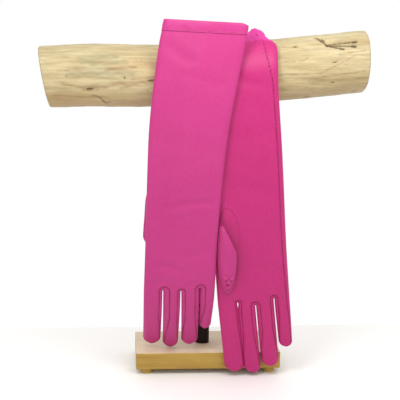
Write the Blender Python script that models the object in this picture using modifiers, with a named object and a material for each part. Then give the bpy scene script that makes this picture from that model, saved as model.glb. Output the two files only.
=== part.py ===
"""A pair of elbow-length satin dress gloves hung over a log on a post and board.

Metres, +Z up. The front of the stand faces -Y, the gloves hang down its front, and the origin is the
centre of the object's box, on the floor.

A glove is drawn flat first, in a plan of two numbers: u across it, from the index side to the little
finger's, and v down it from the end of the cuff. A third number, n, is the height over the plan on
the palm's side. hang() then takes u, v and n to the place where that glove hangs.
"""

import math
from collections import namedtuple

import bmesh
import bpy
from mathutils import Vector

# Stand
BOARD_WIDTH = 0.177
BOARD_DEPTH = 0.085
BOARD_THICKNESS = 0.021
BOARD_EDGE = 0.0012
FOOT_RADIUS = 0.0065
FOOT_HEIGHT = 0.006
FOOT_INSET_X = 0.013
FOOT_INSET_Y = 0.010
POST_RADIUS = 0.0088
POST_OFFSET_X = -0.005
POST_SEAT = 0.018
LOG_LENGTH = 0.384
LOG_RADIUS = 0.038
LOG_OFFSET_X = -0.0058
LOG_SLANT = 0.013
GAP = 0.0003

# Glove, as it lies
ARM_LENGTH = 0.3205
CUFF_WIDTH = 0.098
HALF_THICKNESS = 0.0048
EDGE_ROUND = 0.0095
WALL = 0.001
HEM_HEIGHT = 0.0135
HEM_WALL = 0.0014
HEM_PROUD = 0.0003
FINGER_GAP = 0.0010
MIDDLE_LENGTH = 0.087
THUMB_WIDTH = 0.0225
THUMB_THICKNESS = 0.0092
THUMB_LENGTH = 0.104
THUMB_HOLE_WIDTH = 0.026
THUMB_HOLE_LENGTH = 0.058
THUMB_HOLE_INSET = 0.003
THUMB_LIP = 0.004
THUMB_TURN_STEP = 0.0004
THUMB_TIP_RISE = 0.0009
# Length of a rounded tip, as a share of half the finger's or the thumb's width
FINGER_TIP = 0.9
THUMB_TIP = 1.9

# How the gloves lie on the stand
LOG_CLEARANCE = 0.0005
FRONT_CUFF_RISE = 0.0665
FRONT_CURL_RADIUS = 0.150
FRONT_CURL_START = 0.020
REAR_OVER_LOG = 0.044
FADE_LENGTH = 0.070
# The log carries the rear glove's fingertips just over the floor; it rises to the right, hence the minus
TIP_ALLOWANCE = -0.0033
LOG_HEIGHT = ARM_LENGTH + MIDDLE_LENGTH - REAR_OVER_LOG + TIP_ALLOWANCE
# Share of the palm's width where the front glove starts to stand off, and over which it does
TILT_START = -0.45
TILT_WIDTH = 0.5
# The rear cuff's end is drawn in on the little finger's side and puffs up there
GATHER_LENGTH = 0.034
GATHER_NARROWING = 0.08
PUFF_HEIGHT = 0.014
PUFF_PLACE = 0.031
PUFF_HALF_WIDTH = 0.021
# The front cuff sags: how much on average, and how much more on the right, as a share of u
CUFF_SAG = 0.0034
CUFF_SAG_SLOPE = 0.038
CUFF_SAG_LENGTH = 0.075
# The rear hand spreads on the index side, as a share of u, from and over these shares of ARM_LENGTH
SPREAD = 0.08
SPREAD_START = 0.70
SPREAD_LENGTH = 0.20

# How finely the cloth is divided
ARM_ROWS = 12
STRIP_COLUMNS = 3
ARCH_ROWS = 3
FINGER_ROWS = 5
TIP_ROWS = 3
THUMB_SIDES = 14
STRIP_ACROSS = (-1.0, -0.45, 0.0, 0.45, 1.0)
EDGE_CROWDING = 1.6
WRAP_ACROSS = (0.4, 1.0)
THINNEST_WRAP = 0.0002
LAST_TIP_ROW = 0.985
HEM_ROWS = 2
HEM_FLATS = 8
HEM_TURNS = (20, 42, 66, 90)

# Width of the arm along it, as shares of ARM_LENGTH and CUFF_WIDTH
ArmRow = namedtuple("ArmRow", "along width")
ARM = [
    ArmRow(0.00, 0.970),
    ArmRow(0.09, 1.000),
    ArmRow(0.30, 0.965),
    ArmRow(0.55, 0.905),
    ArmRow(0.78, 0.865),
    ArmRow(1.00, 0.860),
]

# Side seam on the palm, as shares of ARM_LENGTH and CUFF_WIDTH in from the little finger's edge
SeamRow = namedtuple("SeamRow", "along inset")
SIDE_SEAM = [SeamRow(0.0, 0.078), SeamRow(0.3, 0.066), SeamRow(0.75, 0.060), SeamRow(1.0, 0.040)]
SEAM_ON_FINGER = 0.0022
SEAM_FADE = 0.3
# How much a side strip narrows towards the fingertip, and from which share of its length
STRIP_TAPER = 0.75
STRIP_TAPER_START = 0.375

# A finger of a hanging glove. root is its share of the palm's width, tip its width there as a share
# of the root's, length a share of MIDDLE_LENGTH, lean its drift across for each length down, and
# left_seam and right_seam how far in the seams of its side strips lie, as shares of its root.
Finger = namedtuple("Finger", "name root tip length lean left_seam right_seam")
# A gap between two fingers: how much higher than the knuckle line it ends, as a share of MIDDLE_LENGTH
Crotch = namedtuple("Crotch", "name rise")
# How the middle line of a glove hangs: along is a share of ARM_LENGTH, sideways of CUFF_WIDTH, and
# index_forward and little_forward how far each side stands off the log, in HALF_THICKNESS
HangRow = namedtuple("HangRow", "along sideways index_forward little_forward")
Glove = namedtuple("Glove", "name palm_to_viewer fingers crotches hang thumb_sideways thumb_along")

FRONT_GLOVE = Glove(
    name="left_glove",
    palm_to_viewer=False,
    fingers=[
        Finger("index", 0.269, 0.96, 0.940, -0.006, 0.0, 0.16),
        Finger("middle", 0.254, 0.91, 1.000, 0.000, 0.35, 0.16),
        Finger("ring", 0.266, 0.94, 0.930, 0.018, 0.20, 0.22),
        Finger("little", 0.211, 0.80, 0.595, -0.020, 0.34, 0.0),
    ],
    crotches=[Crotch("index_middle", 0.005), Crotch("middle_ring", 0.005), Crotch("ring_little", 0.05)],
    hang=[
        HangRow(0.00, -0.104, 0.1, 2.40),
        HangRow(0.17, -0.189, 0.1, 2.40),
        HangRow(0.39, -0.286, 0.3, 2.55),
        HangRow(0.56, -0.328, 0.7, 2.80),
        HangRow(0.78, -0.362, 1.2, 2.90),
        HangRow(1.00, -0.384, 1.5, 2.90),
    ],
    thumb_sideways=-0.090,
    thumb_along=0.720,
)
REAR_GLOVE = Glove(
    name="right_glove",
    palm_to_viewer=True,
    fingers=[
        Finger("index", 0.265, 0.99, 0.965, 0.115, 0.0, 0.12),
        Finger("middle", 0.236, 1.00, 0.985, 0.110, 0.17, 0.26),
        Finger("ring", 0.274, 0.98, 0.890, 0.114, 0.20, 0.20),
        Finger("little", 0.225, 0.90, 0.610, 0.110, 0.20, 0.0),
    ],
    crotches=[Crotch("index_middle", 0.03), Crotch("middle_ring", -0.01), Crotch("ring_little", 0.09)],
    hang=[
        HangRow(0.00, 0.214, 0.0, 0.00),
        HangRow(0.20, 0.287, 0.0, 0.00),
        HangRow(0.43, 0.381, 0.2, 0.20),
        HangRow(0.69, 0.466, 0.8, 0.80),
        HangRow(1.00, 0.561, 1.15, 1.15),
    ],
    thumb_sideways=-0.030,
    thumb_along=0.720,
)

# Middle line of the log, as shares of LOG_LENGTH along it and of LOG_RADIUS up
LogRow = namedtuple("LogRow", "along rise girth")
LOG = [
    LogRow(-0.50, -0.075, 0.965),
    LogRow(-0.34, -0.005, 0.995),
    LogRow(-0.15, 0.005, 0.990),
    LogRow(0.00, 0.060, 0.985),
    LogRow(0.20, 0.205, 0.990),
    LogRow(0.45, 0.470, 1.000),
    LogRow(0.50, 0.525, 0.990),
]
LOG_SIDES = 24
LOG_SLANT_STEPS = 3
LOG_STEPS = 15

# Turning of the thumb out of its hole: turn in degrees from the palm, size across and height of the
# hollow there as shares of the hole's
ThumbRow = namedtuple("ThumbRow", "turn width height")
THUMB_ROOT = [
    ThumbRow(0, 1.00, 1.00),
    ThumbRow(6, 0.99, 0.93),
    ThumbRow(13, 0.96, 0.62),
    ThumbRow(27, 0.92, 0.33),
    ThumbRow(55, 0.88, 0.19),
]
# How deep the thumb's rim lies under the palm's surface, as a share of WALL
THUMB_SEAT = 0.3
THUMB_ROWS = 4
THUMB_TIP_ROWS = 4


def table(rows, column, along):
    """Reads a column between the rows of a table, on a smooth curve that keeps each row's value."""
    values = [(row.along, getattr(row, column)) for row in rows]
    if along <= values[0][0]:
        return values[0][1]
    for i in range(len(values) - 1):
        (x0, y0), (x1, y1) = values[i], values[i + 1]
        if along > x1:
            continue
        before = values[i - 1] if i > 0 else (2 * x0 - x1, 2 * y0 - y1)
        after = values[i + 2] if i + 2 < len(values) else (2 * x1 - x0, 2 * y1 - y0)
        slope0 = (y1 - before[1]) / (x1 - before[0]) * (x1 - x0)
        slope1 = (after[1] - y0) / (after[0] - x0) * (x1 - x0)
        s = (along - x0) / (x1 - x0)
        return (
            (2 * s**3 - 3 * s**2 + 1) * y0
            + (s**3 - 2 * s**2 + s) * slope0
            + (3 * s**2 - 2 * s**3) * y1
            + (s**3 - s**2) * slope1
        )
    return values[-1][1]


def ease(x):
    x = min(max(x, 0.0), 1.0)
    return x * x * (3 - 2 * x)


def material(name, colour, roughness, metallic=0.0):
    made = bpy.data.materials.new(name)
    made.use_nodes = True
    shader = made.node_tree.nodes["Principled BSDF"]
    shader.inputs["Base Color"].default_value = (*colour, 1.0)
    shader.inputs["Roughness"].default_value = roughness
    shader.inputs["Metallic"].default_value = metallic
    return made


def new_object(name, mesh, collection, finish):
    made = bpy.data.objects.new(name, mesh)
    collection.objects.link(made)
    if finish:
        mesh.materials.append(finish)
    return made


def finished_mesh(name, shape):
    bmesh.ops.recalc_face_normals(shape, faces=shape.faces)
    mesh = bpy.data.meshes.new(name)
    shape.to_mesh(mesh)
    shape.free()
    mesh.shade_smooth()
    mesh.set_sharp_from_angle(angle=math.radians(40))
    return mesh


# Log


def log_along(x):
    return (x - LOG_OFFSET_X) / LOG_LENGTH


def log_centre_height(x):
    return LOG_HEIGHT + LOG_RADIUS * table(LOG, "rise", log_along(x))


def log_radius(along, angle):
    """The stem is a little out of round, and never wider than LOG_RADIUS."""
    flats = 0.5 + 0.5 * math.sin(2 * angle + 9 * along)
    ripple = 0.5 + 0.5 * math.sin(3 * angle - 14 * along + 1.0)
    return LOG_RADIUS * (table(LOG, "girth", along) - 0.012 * flats - 0.008 * ripple)


def make_log(collection, cutters, finish):
    shape = bmesh.new()
    rings = []
    for step in range(LOG_STEPS + 1):
        along = step / LOG_STEPS - 0.5
        end = max(0.0, 0.5 - step / LOG_SLANT_STEPS)
        ring = []
        for side in range(LOG_SIDES):
            angle = 2 * math.pi * side / LOG_SIDES
            radius = log_radius(along, angle)
            x = LOG_OFFSET_X + LOG_LENGTH * along - LOG_SLANT * end * math.sin(angle)
            height = log_centre_height(x) + radius * math.sin(angle)
            ring.append(shape.verts.new((x, radius * math.cos(angle), height)))
        rings.append(ring)
    for low, high in zip(rings, rings[1:]):
        for side in range(LOG_SIDES):
            nxt = (side + 1) % LOG_SIDES
            shape.faces.new((low[side], low[nxt], high[nxt], high[side]))
    shape.faces.new(rings[0])
    shape.faces.new(rings[-1])
    log = new_object("log", finished_mesh("log", shape), collection, finish)
    bore = cylinder("post_bore", POST_RADIUS + GAP, 2 * POST_SEAT, cutters, None)
    bore.location = (POST_OFFSET_X, 0, log_underside(POST_OFFSET_X))
    as_cutter(log, bore)
    return log


def log_underside(x):
    return log_centre_height(x) - log_radius(log_along(x), -math.pi / 2)


def as_cutter(target, cutter):
    cutter.hide_render = True
    cutter.display_type = "WIRE"
    cut = target.modifiers.new(cutter.name, "BOOLEAN")
    cut.operation = "DIFFERENCE"
    cut.solver = "EXACT"
    cut.object = cutter


# Board, feet and post


def cylinder(name, radius, height, collection, finish):
    shape = bmesh.new()
    bmesh.ops.create_cone(
        shape, cap_ends=True, segments=32, radius1=radius, radius2=radius, depth=height
    )
    return new_object(name, finished_mesh(name, shape), collection, finish)


def make_board(collection, finish):
    shape = bmesh.new()
    bmesh.ops.create_cube(shape, size=1.0)
    for corner in shape.verts:
        corner.co.x *= BOARD_WIDTH
        corner.co.y *= BOARD_DEPTH
        corner.co.z *= BOARD_THICKNESS
    board = new_object("base_board", finished_mesh("base_board", shape), collection, finish)
    board.location.z = FOOT_HEIGHT + GAP + BOARD_THICKNESS / 2
    edge = board.modifiers.new("edge", "BEVEL")
    edge.width = BOARD_EDGE
    edge.segments = 2
    return board


def board_top():
    return FOOT_HEIGHT + GAP + BOARD_THICKNESS


def make_feet(collection, finish):
    for side_x, across in (("left", -1), ("right", 1)):
        for side_y, depth in (("front", -1), ("back", 1)):
            foot = cylinder(f"foot_{side_y}_{side_x}", FOOT_RADIUS, FOOT_HEIGHT, collection, finish)
            foot.location = (
                across * (BOARD_WIDTH / 2 - FOOT_INSET_X),
                depth * (BOARD_DEPTH / 2 - FOOT_INSET_Y),
                FOOT_HEIGHT / 2,
            )


def make_post(collection, finish):
    low = board_top() + GAP
    high = log_underside(POST_OFFSET_X) + POST_SEAT - GAP
    post = cylinder("post", POST_RADIUS, high - low, collection, finish)
    post.location = (POST_OFFSET_X, 0, (low + high) / 2)


# Plan of a glove


def arm_half_width(v):
    return CUFF_WIDTH / 2 * table(ARM, "width", min(v / ARM_LENGTH, 1.0))


def palm_width():
    return 2 * arm_half_width(ARM_LENGTH)


def finger_root(glove, i):
    """Left and right ends of a finger's share of the palm's width."""
    left = palm_width() * (sum(finger.root for finger in glove.fingers[:i]) - 0.5)
    return left, left + palm_width() * glove.fingers[i].root


def crotch_centre(glove, k):
    """Centre of the round end of the gap between fingers k and k + 1."""
    return (
        finger_root(glove, k)[1],
        ARM_LENGTH - MIDDLE_LENGTH * glove.crotches[k].rise + FINGER_GAP / 2,
    )


def finger_length(glove, i):
    return MIDDLE_LENGTH * glove.fingers[i].length


def finger_edges(glove, i, v):
    """Left and right edge of finger i at v, as it narrows and rounds off at its tip."""
    finger = glove.fingers[i]
    left, right = finger_root(glove, i)
    left += FINGER_GAP / 2 if i > 0 else 0.0
    right -= FINGER_GAP / 2 if i < 3 else 0.0
    length = finger_length(glove, i)
    down = v - ARM_LENGTH
    share = min(max(down / length, 0.0), 1.0)
    half = (right - left) / 2
    half_here = half * (1 - (1 - finger.tip) * ease(share))
    tip_start = length - half * finger.tip
    if down > tip_start:
        round_off = min((down - tip_start) / (length - tip_start), 1.0)
        half_here *= math.sqrt(max(1 - round_off**2, 0.0))
    centre = (left + right) / 2 + finger.lean * max(down, 0.0)
    return centre - half_here, centre + half_here


def outline(glove, v):
    """Left and right edge of the whole glove at v."""
    if v <= ARM_LENGTH:
        half = arm_half_width(v)
        return -half, half
    return finger_edges(glove, 0, v)[0], finger_edges(glove, 3, v)[1]


def straight_end(glove, i):
    """Where the straight part of finger i ends and its tip begins, and the tip's length."""
    left, right = finger_root(glove, i)
    tip = (right - left) / 2 * FINGER_TIP
    return ARM_LENGTH + finger_length(glove, i) - tip, tip


def edge_distance(glove, u, v, i):
    """Distance to the nearest edge of the plan and the direction away from it.

    i is the finger that the point is on, or None on the arm and palm.
    """
    near = []
    if i is None or i == 0:
        near.append((u - outline(glove, v)[0] if i is None else u - finger_edges(glove, 0, v)[0], 1, 0))
    if i is None or i == 3:
        near.append((outline(glove, v)[1] - u if i is None else finger_edges(glove, 3, v)[1] - u, -1, 0))
    for k in range(3):
        if i is not None and k not in (i - 1, i):
            continue
        centre_u, centre_v = crotch_centre(glove, k)
        if v <= centre_v:
            away = math.hypot(u - centre_u, v - centre_v)
            scale = max(away, 1e-9)
            near.append((away - FINGER_GAP / 2, (u - centre_u) / scale, (v - centre_v) / scale))
        elif i is not None and k == i:
            near.append((finger_edges(glove, i, v)[1] - u, -1, 0))
        elif i is not None:
            near.append((u - finger_edges(glove, i, v)[0], 1, 0))
    return min(near)


def skin(glove, u, v, i, side):
    """A point of the outer face over the plan: side 1 is the palm, -1 the back."""
    distance, du, dv = edge_distance(glove, u, v, i)
    return lift(u, v, du, dv, distance, side)


def lift(u, v, du, dv, distance, side, wall=0.0, proud=0.0):
    """Raises a plan point by the rounding of the edge that it is near; wall steps inwards."""
    cosine = 1 - min(max(distance, 0.0) / EDGE_ROUND, 1.0)
    sine = math.sqrt(max(1 - cosine**2, 0.0))
    step = (wall - proud) * cosine
    height = GAP / 2 + (HALF_THICKNESS + proud - wall - GAP / 2) * sine
    return u + du * step, v + dv * step, side * height


# Hanging


def gather(u, v):
    """Draws the end of the rear cuff in: the new u, and how far the cloth puffs up there."""
    fade = ease(1 - v / GATHER_LENGTH)
    off = min(abs(u - PUFF_PLACE) / PUFF_HALF_WIDTH, 1.0)
    puff = PUFF_HEIGHT * fade * (0.5 + 0.5 * math.cos(math.pi * off))
    return u * (1 - GATHER_NARROWING * fade * ease(u / PUFF_PLACE)), puff


def hang(glove, u, v, n):
    """Place of a point of the glove's plan, as it hangs on the stand."""
    along = min(v / ARM_LENGTH, 1.0)
    middle = CUFF_WIDTH * table(glove.hang, "sideways", along)
    share = ease((u / palm_width() - TILT_START) / TILT_WIDTH)
    forward = HALF_THICKNESS * (
        (1 - share) * table(glove.hang, "index_forward", along)
        + share * table(glove.hang, "little_forward", along)
    )
    radius = LOG_RADIUS + LOG_CLEARANCE + HALF_THICKNESS + HEM_PROUD
    outward = n if glove.palm_to_viewer else -n
    if glove.palm_to_viewer:
        u, puff = gather(u, v)
        u += SPREAD * min(u, 0.0) * ease((along - SPREAD_START) / SPREAD_LENGTH)
        x = middle + u
        forward += puff
        drop = v - REAR_OVER_LOG
        top = log_centre_height(middle)
        lifted = (log_centre_height(x) - top) * ease((FADE_LENGTH - drop) / FADE_LENGTH)
        if drop < 0:
            turn = -drop / radius
            reach = radius + outward + forward
            return Vector((x, -reach * math.cos(turn), top + lifted + reach * math.sin(turn)))
        return Vector((x, -radius - outward - forward, top + lifted - drop))
    x = middle + u
    bend = (v - ARM_LENGTH + FRONT_CURL_START) / FRONT_CURL_RADIUS
    top = log_centre_height(0) + FRONT_CUFF_RISE
    if bend <= 0:
        sag = (CUFF_SAG + CUFF_SAG_SLOPE * u) * ease(1 - v / CUFF_SAG_LENGTH)
        return Vector((x, -radius - outward - forward, top - v - sag))
    start = ARM_LENGTH - FRONT_CURL_START
    reach = FRONT_CURL_RADIUS + outward
    back = FRONT_CURL_RADIUS - reach * math.cos(bend)
    return Vector((x, -radius - forward + back, top - start - reach * math.sin(bend)))


# Cloth pieces


class Sheet:
    """A sheet of cloth as an outer and an inner layer of the same faces, closed round its rim."""

    def __init__(self, glove):
        self.glove = glove
        self.outer = {}
        self.inner = {}
        self.faces = []

    def point(self, key, outer, inner):
        self.outer[key] = hang(self.glove, *outer)
        self.inner[key] = hang(self.glove, *inner)

    def face(self, *keys):
        self.faces.append(keys)

    def grid(self, rows):
        for low, high in zip(rows, rows[1:]):
            for a, b, c, d in zip(low, low[1:], high[1:], high):
                self.face(a, b, c, d)

    def mesh(self, name):
        shape = bmesh.new()
        outer = {key: shape.verts.new(place) for key, place in self.outer.items()}
        inner = {key: shape.verts.new(place) for key, place in self.inner.items()}
        rim = {}
        for keys in self.faces:
            keys = [key for i, key in enumerate(keys) if key != keys[i - 1]]
            shape.faces.new([outer[key] for key in keys])
            shape.faces.new([inner[key] for key in reversed(keys)])
            for a, b in zip(keys, keys[1:] + keys[:1]):
                if (b, a) in rim:
                    del rim[(b, a)]
                else:
                    rim[(a, b)] = True
        for a, b in rim:
            shape.faces.new((outer[b], outer[a], inner[a], inner[b]))
        bmesh.ops.triangulate(shape, faces=shape.faces)
        return finished_mesh(name, shape)


def seam_depth(glove, k, towards, angle):
    """How far in from the gap k its seam lies, at an angle from the top of the arch."""
    left = glove.fingers[k]
    right = glove.fingers[k + 1]
    left_depth = left.right_seam * palm_width() * left.root
    right_depth = right.left_seam * palm_width() * right.root
    top = (left_depth + right_depth) / 2
    side = left_depth if towards < 0 else right_depth
    return top + (side - top) * math.sin(angle)


def side_rows(glove, i, k):
    """Rows beside gap k on finger i: (None, angle) round the arch, then (v, share) down the finger."""
    centre_v = crotch_centre(glove, k)[1]
    tip_start = straight_end(glove, i)[0]
    rows = [(None, math.pi / 2 * step / ARCH_ROWS) for step in range(ARCH_ROWS)]
    for step in range(FINGER_ROWS + 1):
        rows.append((centre_v + (tip_start - centre_v) * step / FINGER_ROWS, step / FINGER_ROWS))
    return rows


def strip_seam(glove, i, k, row, offset):
    """Point of the seam beside gap k on finger i, and the direction away from the gap.

    offset moves it in from the seam, so that two pieces that meet there keep a gap.
    """
    towards = -1 if i == k else 1
    centre_u, centre_v = crotch_centre(glove, k)
    v, value = side_rows(glove, i, k)[row]
    if v is None:
        depth = seam_depth(glove, k, towards, value) + offset
        reach = FINGER_GAP / 2 + depth
        du, dv = towards * math.sin(value), -math.cos(value)
        return centre_u + reach * du, centre_v + reach * dv, du, dv, depth
    taper = 1 - STRIP_TAPER * ease((value - STRIP_TAPER_START) / (1 - STRIP_TAPER_START))
    depth = seam_depth(glove, k, towards, math.pi / 2) * taper + offset
    left, right = finger_edges(glove, i, v)
    if towards < 0:
        return right - depth, v, -1, 0, depth
    return left + depth, v, 1, 0, depth


def finger_rows(glove, i, side):
    """Rows of plan points (u, v, du, dv, distance) down a finger's strip, one row for each key."""
    left_gap = i - 1 if i > 0 else None
    right_gap = i if i < 3 else None
    rows = []
    for row in range(ARCH_ROWS + FINGER_ROWS + 1):
        left = strip_seam(glove, i, left_gap, row, GAP / 2) if i > 0 else None
        right = strip_seam(glove, i, right_gap, row, GAP / 2) if i < 3 else None
        if left is None:
            v = right[1]
            left = (outline(glove, v)[0], v, 1, 0, 0.0)
        if right is None:
            v = left[1]
            inset = seam_inset(v) + GAP / 2 if side > 0 else 0.0
            right = (outline(glove, v)[1] - inset, v, -1, 0, inset)
        rows.append((left, right))
    tip_start, tip = straight_end(glove, i)
    for step in range(1, TIP_ROWS + 1):
        v = tip_start + tip * math.sin(math.pi / 2 * step / TIP_ROWS) * LAST_TIP_ROW
        left, right = finger_edges(glove, i, v)
        inset = 0.0
        if i == 3 and side > 0:
            inset = (SEAM_ON_FINGER + GAP / 2) * (1 - step / TIP_ROWS)
        rows.append(((left, v, 1, 0, 0.0), (right - inset, v, -1, 0, inset)))
    return rows


def seam_inset(v):
    inset = CUFF_WIDTH * table(SIDE_SEAM, "inset", min(v / ARM_LENGTH, 1.0))
    fade = ease((v - ARM_LENGTH) / (SEAM_FADE * MIDDLE_LENGTH))
    return inset + (SEAM_ON_FINGER - inset) * fade


def strip_shares(i, side):
    """Where a strip's lines lie across it: crowded at the folded edges of the outer fingers."""
    even = [column / STRIP_COLUMNS for column in range(STRIP_COLUMNS + 1)]
    if i == 0:
        return [share**EDGE_CROWDING for share in even]
    if i == 3 and side < 0:
        return [1 - (1 - share) ** EDGE_CROWDING for share in even]
    return even


def across(ends, i, side):
    """Points across a strip between its two ends: (u, v, known), where known is exact at the ends."""
    left, right = ends
    points = []
    for share in strip_shares(i, side):
        u = left[0] + (right[0] - left[0]) * share
        v = left[1] + (right[1] - left[1]) * share
        end = {0: left, 1: right}.get(share)
        points.append((u, v, (end[4], end[2], end[3]) if end else None))
    return points


def panel_point(glove, sheet, key, u, v, i, side, known=None):
    """Adds a point of a panel; known gives the distance and direction where they are exact."""
    if known is None:
        distance, du, dv = edge_distance(glove, u, v, i)
    else:
        distance, du, dv = known
    outer = lift(u, v, du, dv, distance, side)
    inner = lift(u, v, du, dv, distance, side, WALL)
    sheet.point(key, outer, inner)


def make_panel(glove, side, collection, finish):
    """The back or the palm of the glove, with its strip of each finger."""
    sheet = Sheet(glove)
    strips = [finger_rows(glove, i, side) for i in range(4)]
    knuckles = []
    for i, rows in enumerate(strips):
        knuckles += across(rows[0], i, side)[0 if i == 0 else 1 :]
    start = HEM_HEIGHT + GAP
    grid = []
    for row in range(ARM_ROWS + 1):
        down = row / ARM_ROWS
        keys = []
        for column, (u, v, known) in enumerate(knuckles):
            v_here = start + (v - start) * down
            left, right = outline(glove, v_here)
            low_left, low_right = outline(glove, v)
            if side > 0:
                right -= seam_inset(v_here) + GAP / 2
                low_right -= seam_inset(v) + GAP / 2
            u_here = left + (u - low_left) / (low_right - low_left) * (right - left)
            key = ("arm", row, column)
            exact = known if row == ARM_ROWS else None
            if column == 0:
                exact = (0.0, 1, 0)
            elif column == len(knuckles) - 1:
                exact = (seam_inset(v_here) + GAP / 2 if side > 0 else 0.0, -1, 0)
            panel_point(glove, sheet, key, u_here, v_here, None, side, exact)
            keys.append(key)
        grid.append(keys)
    sheet.grid(grid)
    for i, rows in enumerate(strips):
        first = grid[-1][STRIP_COLUMNS * i : STRIP_COLUMNS * (i + 1) + 1]
        lines = [first]
        for row in range(1, len(rows)):
            keys = []
            for column, (u, v, known) in enumerate(across(rows[row], i, side)):
                key = ("finger", i, row, column)
                panel_point(glove, sheet, key, u, v, i, side, known)
                keys.append(key)
            lines.append(keys)
        sheet.grid(lines)
    if side < 0:
        add_wrap(glove, sheet, grid, strips)
    if side > 0:
        # Faces keep one way round on both panels.
        sheet.faces = [tuple(reversed(keys)) for keys in sheet.faces]
    name = f"{glove.name}_{'palm' if side > 0 else 'back'}"
    return new_object(name, sheet.mesh(name), collection, finish)


def add_wrap(glove, sheet, grid, strips):
    """Carries the back round the little finger's side to the seam on the palm."""
    lines = [keys[-1] for keys in grid]
    heights = arm_edge_heights(strips)
    for row in range(1, len(strips[3])):
        lines.append(("finger", 3, row, STRIP_COLUMNS))
        heights.append(strips[3][row][1][1])
    rows = []
    closing = len(strips[3]) - 1
    for index, (key, v) in enumerate(zip(lines, heights)):
        row = index - ARM_ROWS
        inset = seam_inset(v)
        if row > ARCH_ROWS + FINGER_ROWS:
            inset = SEAM_ON_FINGER * (1 - (row - ARCH_ROWS - FINGER_ROWS) / TIP_ROWS)
        keys = [key]
        edge = outline(glove, v)[1] if row <= 0 else finger_edges(glove, 3, v)[1]
        if row < closing:
            for share in WRAP_ACROSS:
                depth = max(inset * share - (GAP / 2 if share == 1 else 0.0), THINNEST_WRAP)
                new_key = ("wrap", index, share)
                outer = lift(edge - depth, v, -1, 0, depth, 1)
                inner = lift(edge - depth, v, -1, 0, depth, 1, WALL)
                sheet.point(new_key, outer, inner)
                keys.append(new_key)
        else:
            keys += [key, key]
        rows.append(keys)
    for low, high in zip(rows, rows[1:]):
        for ring in zip(low, low[1:], high[1:], high):
            corners = list(dict.fromkeys(ring))
            if len(corners) > 2:
                sheet.face(*corners)


def arm_edge_heights(strips):
    start = HEM_HEIGHT + GAP
    v = strips[3][0][1][1]
    return [start + (v - start) * row / ARM_ROWS for row in range(ARM_ROWS + 1)]


def make_side_strip(glove, k, collection, finish):
    """The strip between fingers k and k + 1: up one finger's side and down the next one's."""
    sheet = Sheet(glove)
    rows = []
    path = [(k, row) for row in range(ARCH_ROWS + FINGER_ROWS, 0, -1)]
    path += [(k + 1, row) for row in range(0, ARCH_ROWS + FINGER_ROWS + 1)]
    for i, row in path:
        u, v, du, dv, depth = strip_seam(glove, i, k, row, -GAP / 2)
        edge_u, edge_v = u - du * depth, v - dv * depth
        keys = []
        for column, share in enumerate(STRIP_ACROSS):
            here = depth * abs(share)
            side = 1 if share > 0 else -1
            place = (edge_u + du * here, edge_v + dv * here, du, dv, here, side)
            outer = lift(*place)
            inner = lift(*place, WALL)
            if share == 0:
                outer = (outer[0], outer[1], 0.0)
                inner = (inner[0], inner[1], 0.0)
            key = (i, row, column)
            sheet.point(key, outer, inner)
            keys.append(key)
        rows.append(keys)
    sheet.grid(rows)
    name = f"{glove.name}_side_strip_{glove.crotches[k].name}"
    return new_object(name, sheet.mesh(name), collection, finish)


def make_hem(glove, collection, finish):
    """The turned band round the end of the cuff."""
    sheet = Sheet(glove)
    rows = []
    for row in range(HEM_ROWS + 1):
        v = HEM_HEIGHT * row / HEM_ROWS
        left, right = outline(glove, v)
        keys = []
        places = hem_ring(left, right)
        for column, (u, du, distance, side) in enumerate(places):
            outer = lift(u, v, du, 0, distance, side, 0.0, HEM_PROUD)
            inner = lift(u, v, du, 0, distance, side, HEM_WALL, HEM_PROUD)
            if distance == 0:
                outer = (outer[0], outer[1], 0.0)
                inner = (inner[0], inner[1], 0.0)
            key = (row, column)
            sheet.point(key, outer, inner)
            keys.append(key)
        rows.append(keys + keys[:1])
    sheet.grid(rows)
    name = f"{glove.name}_cuff_hem"
    return new_object(name, sheet.mesh(name), collection, finish)


def hem_ring(left, right):
    """Points round the flattened cuff: (u, direction in, distance from the edge, side)."""
    depths = [EDGE_ROUND * (1 - math.cos(math.radians(turn))) for turn in HEM_TURNS]
    inner_left, inner_right = left + EDGE_ROUND, right - EDGE_ROUND
    back = [(left + depth, 1, depth) for depth in depths]
    for step in range(1, HEM_FLATS):
        u = inner_left + (inner_right - inner_left) * step / HEM_FLATS
        direction = 1 if step < HEM_FLATS / 2 else -1
        back.append((u, direction, min(u - left, right - u)))
    back += [(right - depth, -1, depth) for depth in reversed(depths)]
    ring = [(left, 1, 0.0, -1)]
    ring += [(u, direction, distance, -1) for u, direction, distance in back]
    ring.append((right, -1, 0.0, -1))
    ring += [(u, direction, distance, 1) for u, direction, distance in reversed(back)]
    return ring


# Thumb


def thumb_hole(glove):
    """Middle of the thumb's hole in the plan."""
    v = ARM_LENGTH * glove.thumb_along
    u = outline(glove, v)[0] + THUMB_HOLE_INSET + THUMB_HOLE_WIDTH / 2
    return u, v


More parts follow.
